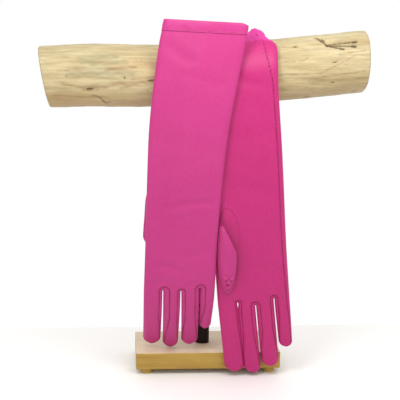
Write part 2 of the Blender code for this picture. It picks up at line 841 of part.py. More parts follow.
def thumb_rings(glove):
    """Rings of (u, v, n) round the thumb, from its hole to just short of its tip."""
    hole_u, hole_v = thumb_hole(glove)
    half_width = THUMB_HOLE_WIDTH / 2 - GAP
    half_height = THUMB_HOLE_LENGTH / 2 - GAP
    lip_v = hole_v + half_height
    lip_n = HALF_THICKNESS + GAP
    rings = []
    for index, row in enumerate(THUMB_ROOT):
        turn = math.radians(row.turn)
        across = half_width * row.width
        tall = half_height * row.height
        drift = CUFF_WIDTH * glove.thumb_sideways * (index / len(THUMB_ROOT)) ** 1.5
        ring = []
        for side in range(THUMB_SIDES):
            angle = 2 * math.pi * side / THUMB_SIDES
            out = tall * (1 + math.sin(angle))
            u = hole_u + drift + across * math.cos(angle)
            v = lip_v + index * THUMB_TURN_STEP - out * math.cos(turn)
            n = lip_n + out * math.sin(turn)
            if index == 0:
                n = skin(glove, u, v, None, 1)[2] - THUMB_SEAT * WALL
            ring.append((u, v, n))
        rings.append(ring)
    end_v = hole_v - half_height + THUMB_LENGTH
    start_v = lip_v + THUMB_LIP
    half = THUMB_THICKNESS / 2
    tip_v = end_v - half * THUMB_TIP
    for step in range(THUMB_ROWS + THUMB_TIP_ROWS):
        if step < THUMB_ROWS:
            v = start_v + (tip_v - start_v) * step / (THUMB_ROWS - 1)
            size = 1.0
        else:
            bend = math.pi / 2 * (step - THUMB_ROWS + 1) / (THUMB_TIP_ROWS + 0.35)
            v = tip_v + half * THUMB_TIP * math.sin(bend)
            size = math.cos(bend)
        drift = CUFF_WIDTH * glove.thumb_sideways
        ring = []
        for side in range(THUMB_SIDES):
            angle = 2 * math.pi * side / THUMB_SIDES
            u = hole_u + drift + THUMB_WIDTH / 2 * size * math.cos(angle)
            n = lip_n + half + half * size * math.sin(angle)
            ring.append((u, v, n))
        rings.append(ring)
    return rings


def inward(rings, index, side, wall):
    """The point of a ring moved in by the wall, square to the surface there."""
    ring = rings[index]
    around = Vector(ring[(side + 1) % len(ring)]) - Vector(ring[side - 1])
    low = rings[max(index - 1, 0)][side]
    high = rings[min(index + 1, len(rings) - 1)][side]
    square = around.cross(Vector(high) - Vector(low)).normalized()
    centre = sum((Vector(point) for point in ring), Vector()) / len(ring)
    if square.dot(centre - Vector(ring[side])) < 0:
        square.negate()
    return Vector(ring[side]) + wall * square


def make_thumb(glove, collection, finish):
    sheet = Sheet(glove)
    rings = thumb_rings(glove)
    rows = []
    for index, ring in enumerate(rings):
        keys = []
        for side in range(THUMB_SIDES):
            key = (index, side)
            sheet.point(key, ring[side], inward(rings, index, side, WALL))
            keys.append(key)
        rows.append(keys + keys[:1])
    sheet.grid(rows)
    last = rings[-1]
    centre = sum((Vector(point) for point in last), Vector()) / len(last)
    tip = centre + Vector((0, THUMB_TIP_RISE, 0))
    sheet.point("tip", tip, tip - Vector((0, WALL, 0)))
    for a, b in zip(rows[-1], rows[-1][1:]):
        sheet.face(a, b, "tip")
    name = f"{glove.name}_thumb"
    return new_object(name, sheet.mesh(name), collection, finish)


def cut_thumb_hole(glove, palm, cutters):
    """Cuts the hole for the thumb through the palm alone."""
    shape = bmesh.new()
    hole_u, hole_v = thumb_hole(glove)
    low, high = [], []
    for side in range(2 * THUMB_SIDES):
        angle = math.pi * side / THUMB_SIDES
        u = hole_u + THUMB_HOLE_WIDTH / 2 * math.cos(angle)
        v = hole_v - THUMB_HOLE_LENGTH / 2 * math.sin(angle)
        low.append(shape.verts.new(hang(glove, u, v, 0.0)))
        high.append(shape.verts.new(hang(glove, u, v, 4 * HALF_THICKNESS)))
    for side in range(len(low)):
        nxt = (side + 1) % len(low)
        shape.faces.new((low[side], low[nxt], high[nxt], high[side]))
    shape.faces.new(low)
    shape.faces.new(high)
    name = f"{glove.name}_thumb_hole"
    as_cutter(palm, new_object(name, finished_mesh(name, shape), cutters, None))


def make_glove(glove, collection, cutters, finish, hem_finish):
    make_panel(glove, -1, collection, finish)
    palm = make_panel(glove, 1, collection, finish)
    cut_thumb_hole(glove, palm, cutters)
    for k in range(3):
        make_side_strip(glove, k, collection, finish)
    make_hem(glove, collection, hem_finish)
    make_thumb(glove, collection, finish)


def centre_on_origin(collection, cutters):
    """Moves everything so that the object's box stands centred on the origin."""
    bpy.context.view_layer.update()
    corners = [
        made.matrix_world @ Vector(corner) for made in collection.objects for corner in made.bound_box
    ]
    shift = Vector(
        (
            -(min(c.x for c in corners) + max(c.x for c in corners)) / 2,
            -(min(c.y for c in corners) + max(c.y for c in corners)) / 2,
            0.0,
        )
    )
    for made in list(collection.objects) + list(cutters.objects):
        made.location += shift


def main():
    for old in list(bpy.data.objects):
        bpy.data.objects.remove(old, do_unlink=True)
    collection = bpy.data.collections.new("gloves_on_log_stand")
    cutters = bpy.data.collections.new("cutters")
    bpy.context.scene.collection.children.link(collection)
    bpy.context.scene.collection.children.link(cutters)
    satin = material("pink_satin", (0.58, 0.045, 0.19), 0.42)
    hem_satin = material("pink_satin_hem", (0.66, 0.06, 0.25), 0.45)
    bare_wood = material("peeled_wood", (0.66, 0.55, 0.36), 0.7)
    board_wood = material("board_wood", (0.55, 0.36, 0.14), 0.5)
    black = material("black_paint", (0.012, 0.009, 0.009), 0.45)
    make_board(collection, board_wood)
    make_feet(collection, board_wood)
    make_post(collection, black)
    make_log(collection, cutters, bare_wood)
    make_glove(FRONT_GLOVE, collection, cutters, satin, hem_satin)
    make_glove(REAR_GLOVE, collection, cutters, satin, hem_satin)
    centre_on_origin(collection, cutters)


main()
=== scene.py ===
"""The looks of a pair of elbow-length satin gloves that hang over a log on a post and board.

Metres. A glove is drawn in a plan of u, across it, and v, down it from the end of the cuff, and hang()
takes it to its place. The same plan gives the solids that the pieces here replace.
"""

import math
from collections import namedtuple

import bmesh
import bpy
import numpy as np
from mathutils import Matrix, Vector, kdtree


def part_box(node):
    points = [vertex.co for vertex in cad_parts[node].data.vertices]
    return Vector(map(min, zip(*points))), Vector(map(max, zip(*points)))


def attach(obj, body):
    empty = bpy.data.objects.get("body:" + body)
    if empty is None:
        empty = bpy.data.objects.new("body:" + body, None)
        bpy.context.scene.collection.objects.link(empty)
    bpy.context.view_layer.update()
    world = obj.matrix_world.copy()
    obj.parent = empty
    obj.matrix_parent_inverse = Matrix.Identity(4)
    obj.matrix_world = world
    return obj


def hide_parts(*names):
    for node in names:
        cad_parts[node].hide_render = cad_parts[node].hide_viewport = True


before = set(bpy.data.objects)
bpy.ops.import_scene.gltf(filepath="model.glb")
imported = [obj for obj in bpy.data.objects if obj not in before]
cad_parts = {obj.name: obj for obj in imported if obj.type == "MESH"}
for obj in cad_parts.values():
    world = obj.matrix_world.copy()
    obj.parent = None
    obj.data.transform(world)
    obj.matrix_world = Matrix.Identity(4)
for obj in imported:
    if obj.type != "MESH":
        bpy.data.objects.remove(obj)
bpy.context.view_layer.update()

# Sizes of the stand and gloves, as in the solids
LOG_LENGTH = 0.384
LOG_RADIUS = 0.038
LOG_HEIGHT = 0.3602
LOG_OFFSET_X = -0.0058
LOG_SLANT = 0.013
ARM_LENGTH = 0.3205
CUFF_WIDTH = 0.098
HALF_THICKNESS = 0.0048
EDGE_ROUND = 0.0095
HEM_HEIGHT = 0.0135
FINGER_GAP = 0.0010
FINGER_TIP = 0.9
FINGER_CLOSE = 0.0009
FINGER_CLOSE_LENGTH = 0.008
MIDDLE_LENGTH = 0.087
THUMB_HOLE_PLACE = 0.72
THUMB_HOLE_WIDTH = 0.026
THUMB_HOLE_LENGTH = 0.058
THUMB_HOLE_INSET = 0.003
LOG_CLEARANCE = 0.0008
FRONT_CUFF_RISE = 0.0665
FRONT_CURL_RADIUS = 0.150
FRONT_CURL_START = 0.020
REAR_OVER_LOG = 0.044
FADE_LENGTH = 0.070
TILT_START = -0.45
TILT_WIDTH = 0.5
# The rear cuff is gathered at its end: pleats, a broad puff, and a knot on its right
GATHER_LENGTH = 0.034
PLEAT_HEIGHT = 0.0004
PUFF_HEIGHT = 0.006
PUFF_PLACE = 0.028
PUFF_HALF_WIDTH = 0.018
KNOT_PLACE = 0.0385
KNOT_HALF_WIDTH = 0.010
KNOT_LENGTH = 0.010
KNOT_HEIGHT = 0.0036
# The rear hand spreads on the index side, as a share of u, from and over these shares of ARM_LENGTH
SPREAD = 0.08
SPREAD_START = 0.70
SPREAD_LENGTH = 0.20
# The rear glove's side seam bends inward near the cuff's end, by this much, down to this place
SEAM_BEND = 0.0075
SEAM_BEND_END = 0.060
SEAM_BEND_LENGTH = 0.045
# The rear cuff is stretched a little further over the log than its own length gives
CUFF_STRETCH = 1.2
# The front cuff sags: how much on average, and how much more on the right than on the left
CUFF_SAG = 0.0034
CUFF_SAG_SLOPE = 0.038
CUFF_SAG_LENGTH = 0.075
# The right corner of the front cuff is rounded off
CORNER_DROP = 0.0024
CORNER_START = 0.0395
CORNER_WIDTH = 0.0095
CORNER_LENGTH = 0.013
SEAM_ON_FINGER = 0.0022
SEAM_FADE = 0.3
STRIP_TAPER = 0.75
STRIP_TAPER_START = 0.375


def rows_of(kind, rows):
    return [kind(*row) for row in rows]


ArmRow = namedtuple("ArmRow", "along width")
ARM = rows_of(ArmRow, [
    (0.0, 0.97), (0.09, 1.0), (0.3, 0.965), (0.55, 0.905), (0.78, 0.865), (1.0, 0.86),
])
SeamRow = namedtuple("SeamRow", "along inset")
SIDE_SEAM = rows_of(SeamRow, [(0.0, 0.078), (0.3, 0.066), (0.75, 0.06), (1.0, 0.04)])
# The rear cuff's width on its side seam side at v, as a share of its plan: bunched, then a shoulder
ShoulderRow = namedtuple("ShoulderRow", "along share")
SHOULDER = rows_of(ShoulderRow, [
    (0.0, 0.81), (0.002, 0.845), (0.004, 0.865), (0.0062, 0.86), (0.0078, 0.895), (0.0095, 0.965),
    (0.0112, 1.02), (0.0156, 1.065), (0.031, 1.03), (0.06, 1.0), (0.08, 1.0),
])
Finger = namedtuple("Finger", "name root tip length lean left_seam right_seam")
HangRow = namedtuple("HangRow", "along sideways index_forward little_forward")
# A soft crease: its two ends in the plan, how far its middle bows down it, its half width and depth
Crease = namedtuple("Crease", "u0 v0 u1 v1 bow width depth")
# Outline of the flattened thumb: v, its left and right edge across the stand, and its thickness
ThumbRow = namedtuple("ThumbRow", "along left right thick")
Glove = namedtuple("Glove", "name palm_to_viewer fingers rises hang creases thumb")

FRONT_GLOVE = Glove(
    name="left_glove",
    palm_to_viewer=False,
    fingers=rows_of(Finger, [
        ("index", 0.269, 0.96, 0.94, -0.006, 0.0, 0.16),
        ("middle", 0.254, 0.91, 1.0, 0.0, 0.35, 0.16),
        ("ring", 0.266, 0.94, 0.93, 0.018, 0.2, 0.22),
        ("little", 0.211, 0.8, 0.595, -0.02, 0.34, 0.0),
    ]),
    rises=[0.005, 0.005, 0.05],
    hang=rows_of(HangRow, [
        (0.0, -0.104, 0.1, 2.4), (0.17, -0.189, 0.1, 2.4), (0.39, -0.286, 0.3, 2.55),
        (0.56, -0.328, 0.7, 2.8), (0.78, -0.362, 1.2, 2.9), (1.0, -0.384, 1.5, 2.9),
    ]),
    creases=rows_of(Crease, [
        (-0.044, 0.024, 0.0, 0.052, 0.004, 0.0065, 0.0005),
        (-0.02, 0.06, 0.04, 0.078, 0.003, 0.008, 0.0004),
        (-0.044, 0.14, 0.044, 0.158, -0.003, 0.012, 0.0006),
        (-0.04, 0.168, 0.03, 0.16, 0.003, 0.01, 0.0004),
        (-0.026, 0.224, 0.04, 0.213, -0.005, 0.0045, 0.0008),
        (-0.03, 0.288, 0.004, 0.298, -0.003, 0.0042, 0.0009),
        (0.0, 0.278, 0.036, 0.262, 0.004, 0.006, 0.0008),
        (0.004, 0.312, 0.024, 0.304, 0.002, 0.003, 0.0008),
        (-0.036, 0.312, -0.014, 0.304, 0.001, 0.004, 0.0006),
    ]),
    thumb=rows_of(ThumbRow, [
        (0.202, -0.0762, -0.0752, 0.001), (0.212, -0.0782, -0.069, 0.004),
        (0.232, -0.0794, -0.064, 0.007), (0.249, -0.0806, -0.06, 0.008),
        (0.258, -0.0806, -0.058, 0.008), (0.266, -0.077, -0.0565, 0.008),
        (0.282, -0.075, -0.056, 0.0072), (0.297, -0.0725, -0.059, 0.0058),
        (0.306, -0.0662, -0.0658, 0.001),
    ]),
)
REAR_GLOVE = Glove(
    name="right_glove",
    palm_to_viewer=True,
    fingers=rows_of(Finger, [
        ("index", 0.265, 0.99, 0.965, 0.115, 0.0, 0.12),
        ("middle", 0.236, 1.0, 0.985, 0.11, 0.17, 0.26),
        ("ring", 0.274, 0.98, 0.89, 0.114, 0.2, 0.2), ("little", 0.225, 0.9, 0.61, 0.11, 0.2, 0.0),
    ]),
    rises=[0.03, -0.01, 0.09],
    hang=rows_of(HangRow, [
        (0.0, 0.214, 0.0, 0.0), (0.2, 0.287, 0.0, 0.0), (0.43, 0.381, 0.2, 0.2),
        (0.69, 0.466, 0.8, 0.8), (1.0, 0.561, 1.15, 1.15),
    ]),
    creases=rows_of(Crease, [
        (-0.01, 0.04, 0.036, 0.058, 0.004, 0.006, 0.0006),
        (-0.02, 0.12, 0.04, 0.108, 0.003, 0.011, 0.0005),
        (-0.03, 0.176, 0.04, 0.19, -0.004, 0.01, 0.0005),
        (-0.01, 0.262, 0.038, 0.282, 0.006, 0.009, 0.0006),
        (-0.034, 0.3, -0.008, 0.29, 0.002, 0.006, 0.0006),
    ]),
    thumb=rows_of(ThumbRow, [
        (0.215, 0.0098, 0.011, 0.001), (0.225, 0.0085, 0.0158, 0.0046),
        (0.24, 0.0078, 0.0232, 0.0075), (0.253, 0.0074, 0.0292, 0.0088),
        (0.262, 0.0075, 0.0302, 0.0088), (0.28, 0.0098, 0.0292, 0.0084),
        (0.293, 0.0134, 0.0268, 0.0076), (0.301, 0.0158, 0.0246, 0.0056),
        (0.3075, 0.0196, 0.0204, 0.001),
    ]),
)
LogRow = namedtuple("LogRow", "along rise girth")
LOG = rows_of(LogRow, [
    (-0.5, -0.075, 0.965), (-0.34, -0.005, 0.995), (-0.15, 0.005, 0.99), (0.0, 0.06, 0.985),
    (0.2, 0.205, 0.99), (0.45, 0.47, 1.0), (0.5, 0.525, 0.99),
])

board_low, board_high = (Vector(corner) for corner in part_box("base_board"))
SHIFT = np.array([(board_low.x + board_high.x) / 2, (board_low.y + board_high.y) / 2, 0.0])


def ease(x):
    x = np.clip(x, 0.0, 1.0)
    return x * x * (3 - 2 * x)


def table(rows, column, along):
    """Reads a column between the rows of a table, on a smooth curve that keeps each row's value."""
    xs = np.array([row.along for row in rows])
    ys = np.array([getattr(row, column) for row in rows])
    xe = np.concatenate([[2 * xs[0] - xs[1]], xs, [2 * xs[-1] - xs[-2]]])
    ye = np.concatenate([[2 * ys[0] - ys[1]], ys, [2 * ys[-1] - ys[-2]]])
    along = np.clip(along, xs[0], xs[-1])
    i = np.clip(np.searchsorted(xs, along) - 1, 0, len(xs) - 2)
    span = xs[i + 1] - xs[i]
    slope0 = (ye[i + 2] - ye[i]) / (xe[i + 2] - xe[i]) * span
    slope1 = (ye[i + 3] - ye[i + 1]) / (xe[i + 3] - xe[i + 1]) * span
    s = (along - xs[i]) / span
    return (
        (2 * s**3 - 3 * s**2 + 1) * ys[i]
        + (s**3 - 2 * s**2 + s) * slope0
        + (3 * s**2 - 2 * s**3) * ys[i + 1]
        + (s**3 - s**2) * slope1
    )


def ripple(a, b, seed):
    """Smooth noise between about -1 and 1, from a few sines."""
    total = 0.0
    for k in range(5):
        turn = seed * 1.7 + k * 2.399
        wave = (a * math.cos(turn) + b * math.sin(turn)) * (1 + 0.35 * k)
        total = total + np.sin(wave + seed * (k + 1) * 3.1)
    return total / 3.2


def off_line(x, y, x0, y0, x1, y1, bow=0.0):
    """Where on a line the place nearest to x, y is, as a share of it, and how far off x, y lies."""
    dx, dy = x1 - x0, y1 - y0
    t = np.clip(((x - x0) * dx + (y - y0) * dy) / (dx * dx + dy * dy), 0.0, 1.0)
    return t, np.hypot(x - x0 - t * dx, y - y0 - t * dy - bow * 4 * t * (1 - t))


# Materials


class Nodes:
    """A material's node tree, with short calls for the nodes used here."""

    def __init__(self, name):
        self.material = bpy.data.materials.new(name)
        self.material.use_nodes = True
        self.tree = self.material.node_tree
        self.shader = self.tree.nodes["Principled BSDF"]

    def node(self, kind, **settings):
        made = self.tree.nodes.new(kind)
        for key, value in settings.items():
            setattr(made, key, value)
        return made

    def link(self, source, target):
        self.tree.links.new(source, target)

    def place(self, scale):
        """Object coordinates in metres, multiplied by scale."""
        coords = self.node("ShaderNodeTexCoord")
        mapping = self.node("ShaderNodeMapping")
        mapping.inputs["Scale"].default_value = scale
        self.link(coords.outputs["Object"], mapping.inputs["Vector"])
        return mapping.outputs["Vector"]

    def noise(self, scale, detail, roughness=0.5):
        place = self.place(scale)
        made = self.node("ShaderNodeTexNoise")
        made.inputs["Scale"].default_value = 1.0
        made.inputs["Detail"].default_value = detail
        made.inputs["Roughness"].default_value = roughness
        self.link(place, made.inputs["Vector"])
        return made.outputs["Fac"]

    def ramp(self, source, stops):
        """Colours between stops of place and colour, where a single number is a grey."""
        made = self.node("ShaderNodeValToRGB")
        elements = made.color_ramp.elements
        while len(elements) < len(stops):
            elements.new(0.5)
        for element, (place, colour) in zip(elements, stops):
            element.position = place
            element.color = (colour, colour, colour, 1.0) if isinstance(colour, float) else (*colour, 1.0)
        self.link(source, made.inputs["Fac"])
        return made.outputs["Color"]

    def mix(self, share, first, second, blend="MIX"):
        made = self.node("ShaderNodeMix", data_type="RGBA", blend_type=blend)
        for value, socket in ((share, 0), (first, 6), (second, 7)):
            if isinstance(value, (int, float)):
                made.inputs[socket].default_value = value
            elif isinstance(value, tuple):
                made.inputs[socket].default_value = (*value, 1.0)
            else:
                self.link(value, made.inputs[socket])
        return made.outputs[2]

    def attribute(self, name):
        made = self.node("ShaderNodeAttribute", attribute_name=name)
        return made.outputs["Fac"]

    def add(self, first, second, factor):
        made = self.node("ShaderNodeMath", operation="MULTIPLY_ADD")
        self.link(second, made.inputs[0])
        made.inputs[1].default_value = factor
        self.link(first, made.inputs[2])
        return made.outputs[0]

    def bump(self, height, strength, distance, onto=None):
        made = self.node("ShaderNodeBump")
        made.inputs["Strength"].default_value = strength
        made.inputs["Distance"].default_value = distance
        self.link(height, made.inputs["Height"])
        if onto is not None:
            self.link(onto, made.inputs["Normal"])
        return made.outputs["Normal"]

    def finish(self, colour, roughness, normal=None, **constants):
        if isinstance(colour, tuple):
            self.shader.inputs["Base Color"].default_value = (*colour, 1.0)
        else:
            self.link(colour, self.shader.inputs["Base Color"])
        if isinstance(roughness, float):
            self.shader.inputs["Roughness"].default_value = roughness
        else:
            self.link(roughness, self.shader.inputs["Roughness"])
        if normal is not None:
            self.link(normal, self.shader.inputs["Normal"])
        for key, value in constants.items():
            self.shader.inputs[key.replace("_", " ").title().replace("Ior", "IOR")].default_value = value
        return self.material


def satin(name, light, dark, line):
    """Stretch satin: fine knit ribs, a little mottling, and painted shade where the seam attribute mixes
    in the line colour.
    """
    nodes = Nodes(name)
    mottle = nodes.noise((14, 14, 9), 5.0)
    colour = nodes.mix(mottle, light, dark)
    fibre = nodes.noise((900, 900, 260), 2.0)
    threads = nodes.ramp(fibre, [(0.30, (0.26, 0.008, 0.07)), (0.70, (0.66, 0.07, 0.27))])
    colour = nodes.mix(0.10, colour, threads)
    # Painted shade: the seam attribute mixes in the line colour in the seams' grooves, beside the thumb,
    # on the front hem and inside the sleeves
    colour = nodes.mix(nodes.attribute("seam"), colour, line)
    knit = nodes.node("ShaderNodeTexWave", wave_type="BANDS", bands_direction="X")
    knit.inputs["Scale"].default_value = 1.0
    knit.inputs["Distortion"].default_value = 0.6
    nodes.link(nodes.place((500, 500, 40)), knit.inputs["Vector"])
    weave = nodes.bump(knit.outputs["Fac"], 0.10, 0.0002)
    grain = nodes.bump(fibre, 0.12, 0.0002, weave)
    soft = nodes.bump(nodes.noise((60, 60, 40), 3.0), 0.10, 0.002, grain)
    rough = nodes.ramp(mottle, [(0.2, 0.44), (0.8, 0.52)])
    sheen = {"sheen_weight": 0.08, "sheen_roughness": 0.40}
    return nodes.finish(colour, rough, soft, anisotropic=0.20, specular_ior_level=0.40, **sheen)


def wood_log(name):
    """Peeled wood: long pale grain, grey and brown staining, dark cracks and knots, ringed ends, and
    painted shade on its underside.
    """
    nodes = Nodes(name)
    grain = nodes.noise((7, 55, 55), 8.0, 0.62)
    fine = nodes.noise((26, 330, 330), 5.0, 0.6)
    broad = nodes.noise((5, 13, 13), 3.0)
    deep, middle, pale = (0.34, 0.25, 0.12), (0.48, 0.405, 0.24), (0.59, 0.535, 0.365)
    colour = nodes.ramp(grain, [(0.28, deep), (0.44, middle), (0.72, pale)])
    streaks = nodes.ramp(fine, [(0.35, (0.50, 0.37, 0.20)), (0.60, (1.0, 0.93, 0.74))])
    colour = nodes.mix(0.50, colour, streaks, "MULTIPLY")
    colour = nodes.mix(nodes.ramp(broad, [(0.52, 0.0), (0.72, 0.55)]), colour, (0.46, 0.31, 0.16))
    # The under colour is painted shade on the log's underside and ends; grey and brown are staining, dark
    # is cracks and knots
    marks_and_painted_shade = {
        "under": (0.44, 0.30, 0.15),
        "grey": (0.21, 0.205, 0.125),
        "brown": (0.25, 0.13, 0.055),
        "dark": (0.075, 0.045, 0.018),
    }
    for kind, kind_colour in marks_and_painted_shade.items():
        colour = nodes.mix(nodes.attribute(kind), colour, kind_colour)
    height = nodes.add(grain, fine, 0.5)
    rough = nodes.ramp(grain, [(0.3, 0.72), (0.7, 0.58)])
    return nodes.finish(colour, rough, nodes.bump(height, 0.35, 0.0012), specular_ior_level=0.3)


def wood_board(name):
    """Bamboo board: pale planed top, browner sides with thin layers along the edge."""
    nodes = Nodes(name)
    grain = nodes.noise((9, 160, 190), 6.0, 0.6)
    fine = nodes.noise((45, 900, 900), 4.0, 0.6)
    deep, middle, pale = (0.34, 0.195, 0.03), (0.44, 0.285, 0.052), (0.52, 0.355, 0.08)
    side = nodes.ramp(grain, [(0.30, deep), (0.52, middle), (0.74, pale)])
    top = nodes.ramp(grain, [(0.25, (0.64, 0.52, 0.36)), (0.75, (0.74, 0.62, 0.45))])
    normal = nodes.node("ShaderNodeNewGeometry")
    split = nodes.node("ShaderNodeSeparateXYZ")
    nodes.link(normal.outputs["Normal"], split.inputs[0])
    facing = nodes.ramp(split.outputs["Z"], [(0.45, 0.0), (0.85, 1.0)])
    colour = nodes.mix(facing, side, top)
    layers = nodes.ramp(fine, [(0.35, (0.50, 0.36, 0.20)), (0.62, (1.0, 0.96, 0.88))])
    colour = nodes.mix(0.25, colour, layers, "MULTIPLY")
    rough = nodes.ramp(fine, [(0.3, 0.55), (0.7, 0.42)])
    return nodes.finish(colour, rough, nodes.bump(grain, 0.12, 0.0006), specular_ior_level=0.4)


def lacquer(name):
    """Black-brown lacquer over turned wood, with fine scratches along the post."""
    nodes = Nodes(name)
    streak = nodes.noise((260, 260, 9), 5.0)
    colour = nodes.ramp(streak, [(0.3, (0.006, 0.0025, 0.002)), (0.7, (0.02, 0.009, 0.006))])
    rough = nodes.ramp(streak, [(0.3, 0.36), (0.7, 0.50)])
    return nodes.finish(colour, rough, nodes.bump(streak, 0.05, 0.0004), specular_ior_level=0.15)


# Line colours of the painted shade in the seams' grooves, beside the thumb, on the front hem and inside
# the sleeves
PAINTED_SHADE_PINK = (0.19, 0.001, 0.04)
HEM_PAINTED_SHADE_PINK = (0.22, 0.003, 0.055)
PINK = satin("pink_satin_knit", (0.475, 0.026, 0.19), (0.425, 0.018, 0.158), PAINTED_SHADE_PINK)
# The rear glove's satin is a deeper copy of the front's: painted shade for the weaker light on it
PINK_REAR_SHADED = satin("pink_satin_knit_rear_shaded", (0.468, 0.01, 0.155), (0.42, 0.006, 0.122), PAINTED_SHADE_PINK)
# The gathered rear cuff takes a lighter copy of the satin: painted light on its upturned face
PINK_KNOT_LIT = satin("pink_satin_gathered_knit_lit", (0.56, 0.03, 0.26), (0.51, 0.02, 0.215), HEM_PAINTED_SHADE_PINK)
PINK_HEM = satin("pink_satin_hem_knit", (0.475, 0.026, 0.195), (0.43, 0.02, 0.165), HEM_PAINTED_SHADE_PINK)
# Dark tubes sunk in the seams' grooves: painted shadow
SEAM_SHADOW_LINE = Nodes("painted_seam_shadow").finish((0.17, 0.001, 0.035), 0.7, specular_ior_level=0.1)
THREAD = Nodes("hem_thread").finish((0.48, 0.03, 0.17), 0.55)
LOG_WOOD = wood_log("peeled_log_wood")
BOARD_WOOD = wood_board("bamboo_board")
BLACK = lacquer("black_lacquer")


def add_object(name, data):
    made = bpy.data.objects.new(name, data)
    bpy.context.scene.collection.objects.link(made)
    return made


def make_piece(name, points, faces, finish, nodes=(), attributes=None, merge=None):
    """A mesh piece in the object's frame, which rides on the root and stands for the named nodes."""
    mesh = bpy.data.meshes.new(name)
    mesh.from_pydata([tuple(p) for p in np.asarray(points) + SHIFT], [], faces)
    for key, values in (attributes or {}).items():
        layer = mesh.attributes.new(key, "FLOAT", "POINT")
        layer.data.foreach_set("value", np.asarray(values, dtype=np.float32))
    shape = bmesh.new()
    shape.from_mesh(mesh)
    if merge:
        bmesh.ops.remove_doubles(shape, verts=shape.verts, dist=merge)
        bmesh.ops.dissolve_degenerate(shape, edges=shape.edges, dist=1e-7)
    bmesh.ops.recalc_face_normals(shape, faces=shape.faces)
    shape.to_mesh(mesh)
    shape.free()
    mesh.shade_smooth()
    mesh.materials.append(finish)
    piece = add_object(name, mesh)
    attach(piece, "root")
    if nodes:
        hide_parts(*nodes)
    return piece


def grid_faces(rows, columns, start=0, around=False, flip=False):
    """Faces of a grid of points, closed across its columns where around is set."""
    faces = []
    for row in range(rows - 1):
        for column in range(columns if around else columns - 1):
            nxt = (column + 1) % columns
            a, b = row * columns + column, row * columns + nxt
            corners = (start + a, start + b, start + b + columns, start + a + columns)
            faces.append(corners[::-1] if flip else corners)
    return faces


def closed_tube_faces(rows, sides):
    """Faces of a tube of points, with one face over each end."""
    faces = grid_faces(rows, sides, around=True)
    faces.append(tuple(range(sides))[::-1])
    faces.append(tuple(range((rows - 1) * sides, rows * sides)))
    return faces


# Log


def log_along(x):
    return (x - LOG_OFFSET_X) / LOG_LENGTH


def log_centre_height(x):
    return LOG_HEIGHT + LOG_RADIUS * table(LOG, "rise", log_along(x))


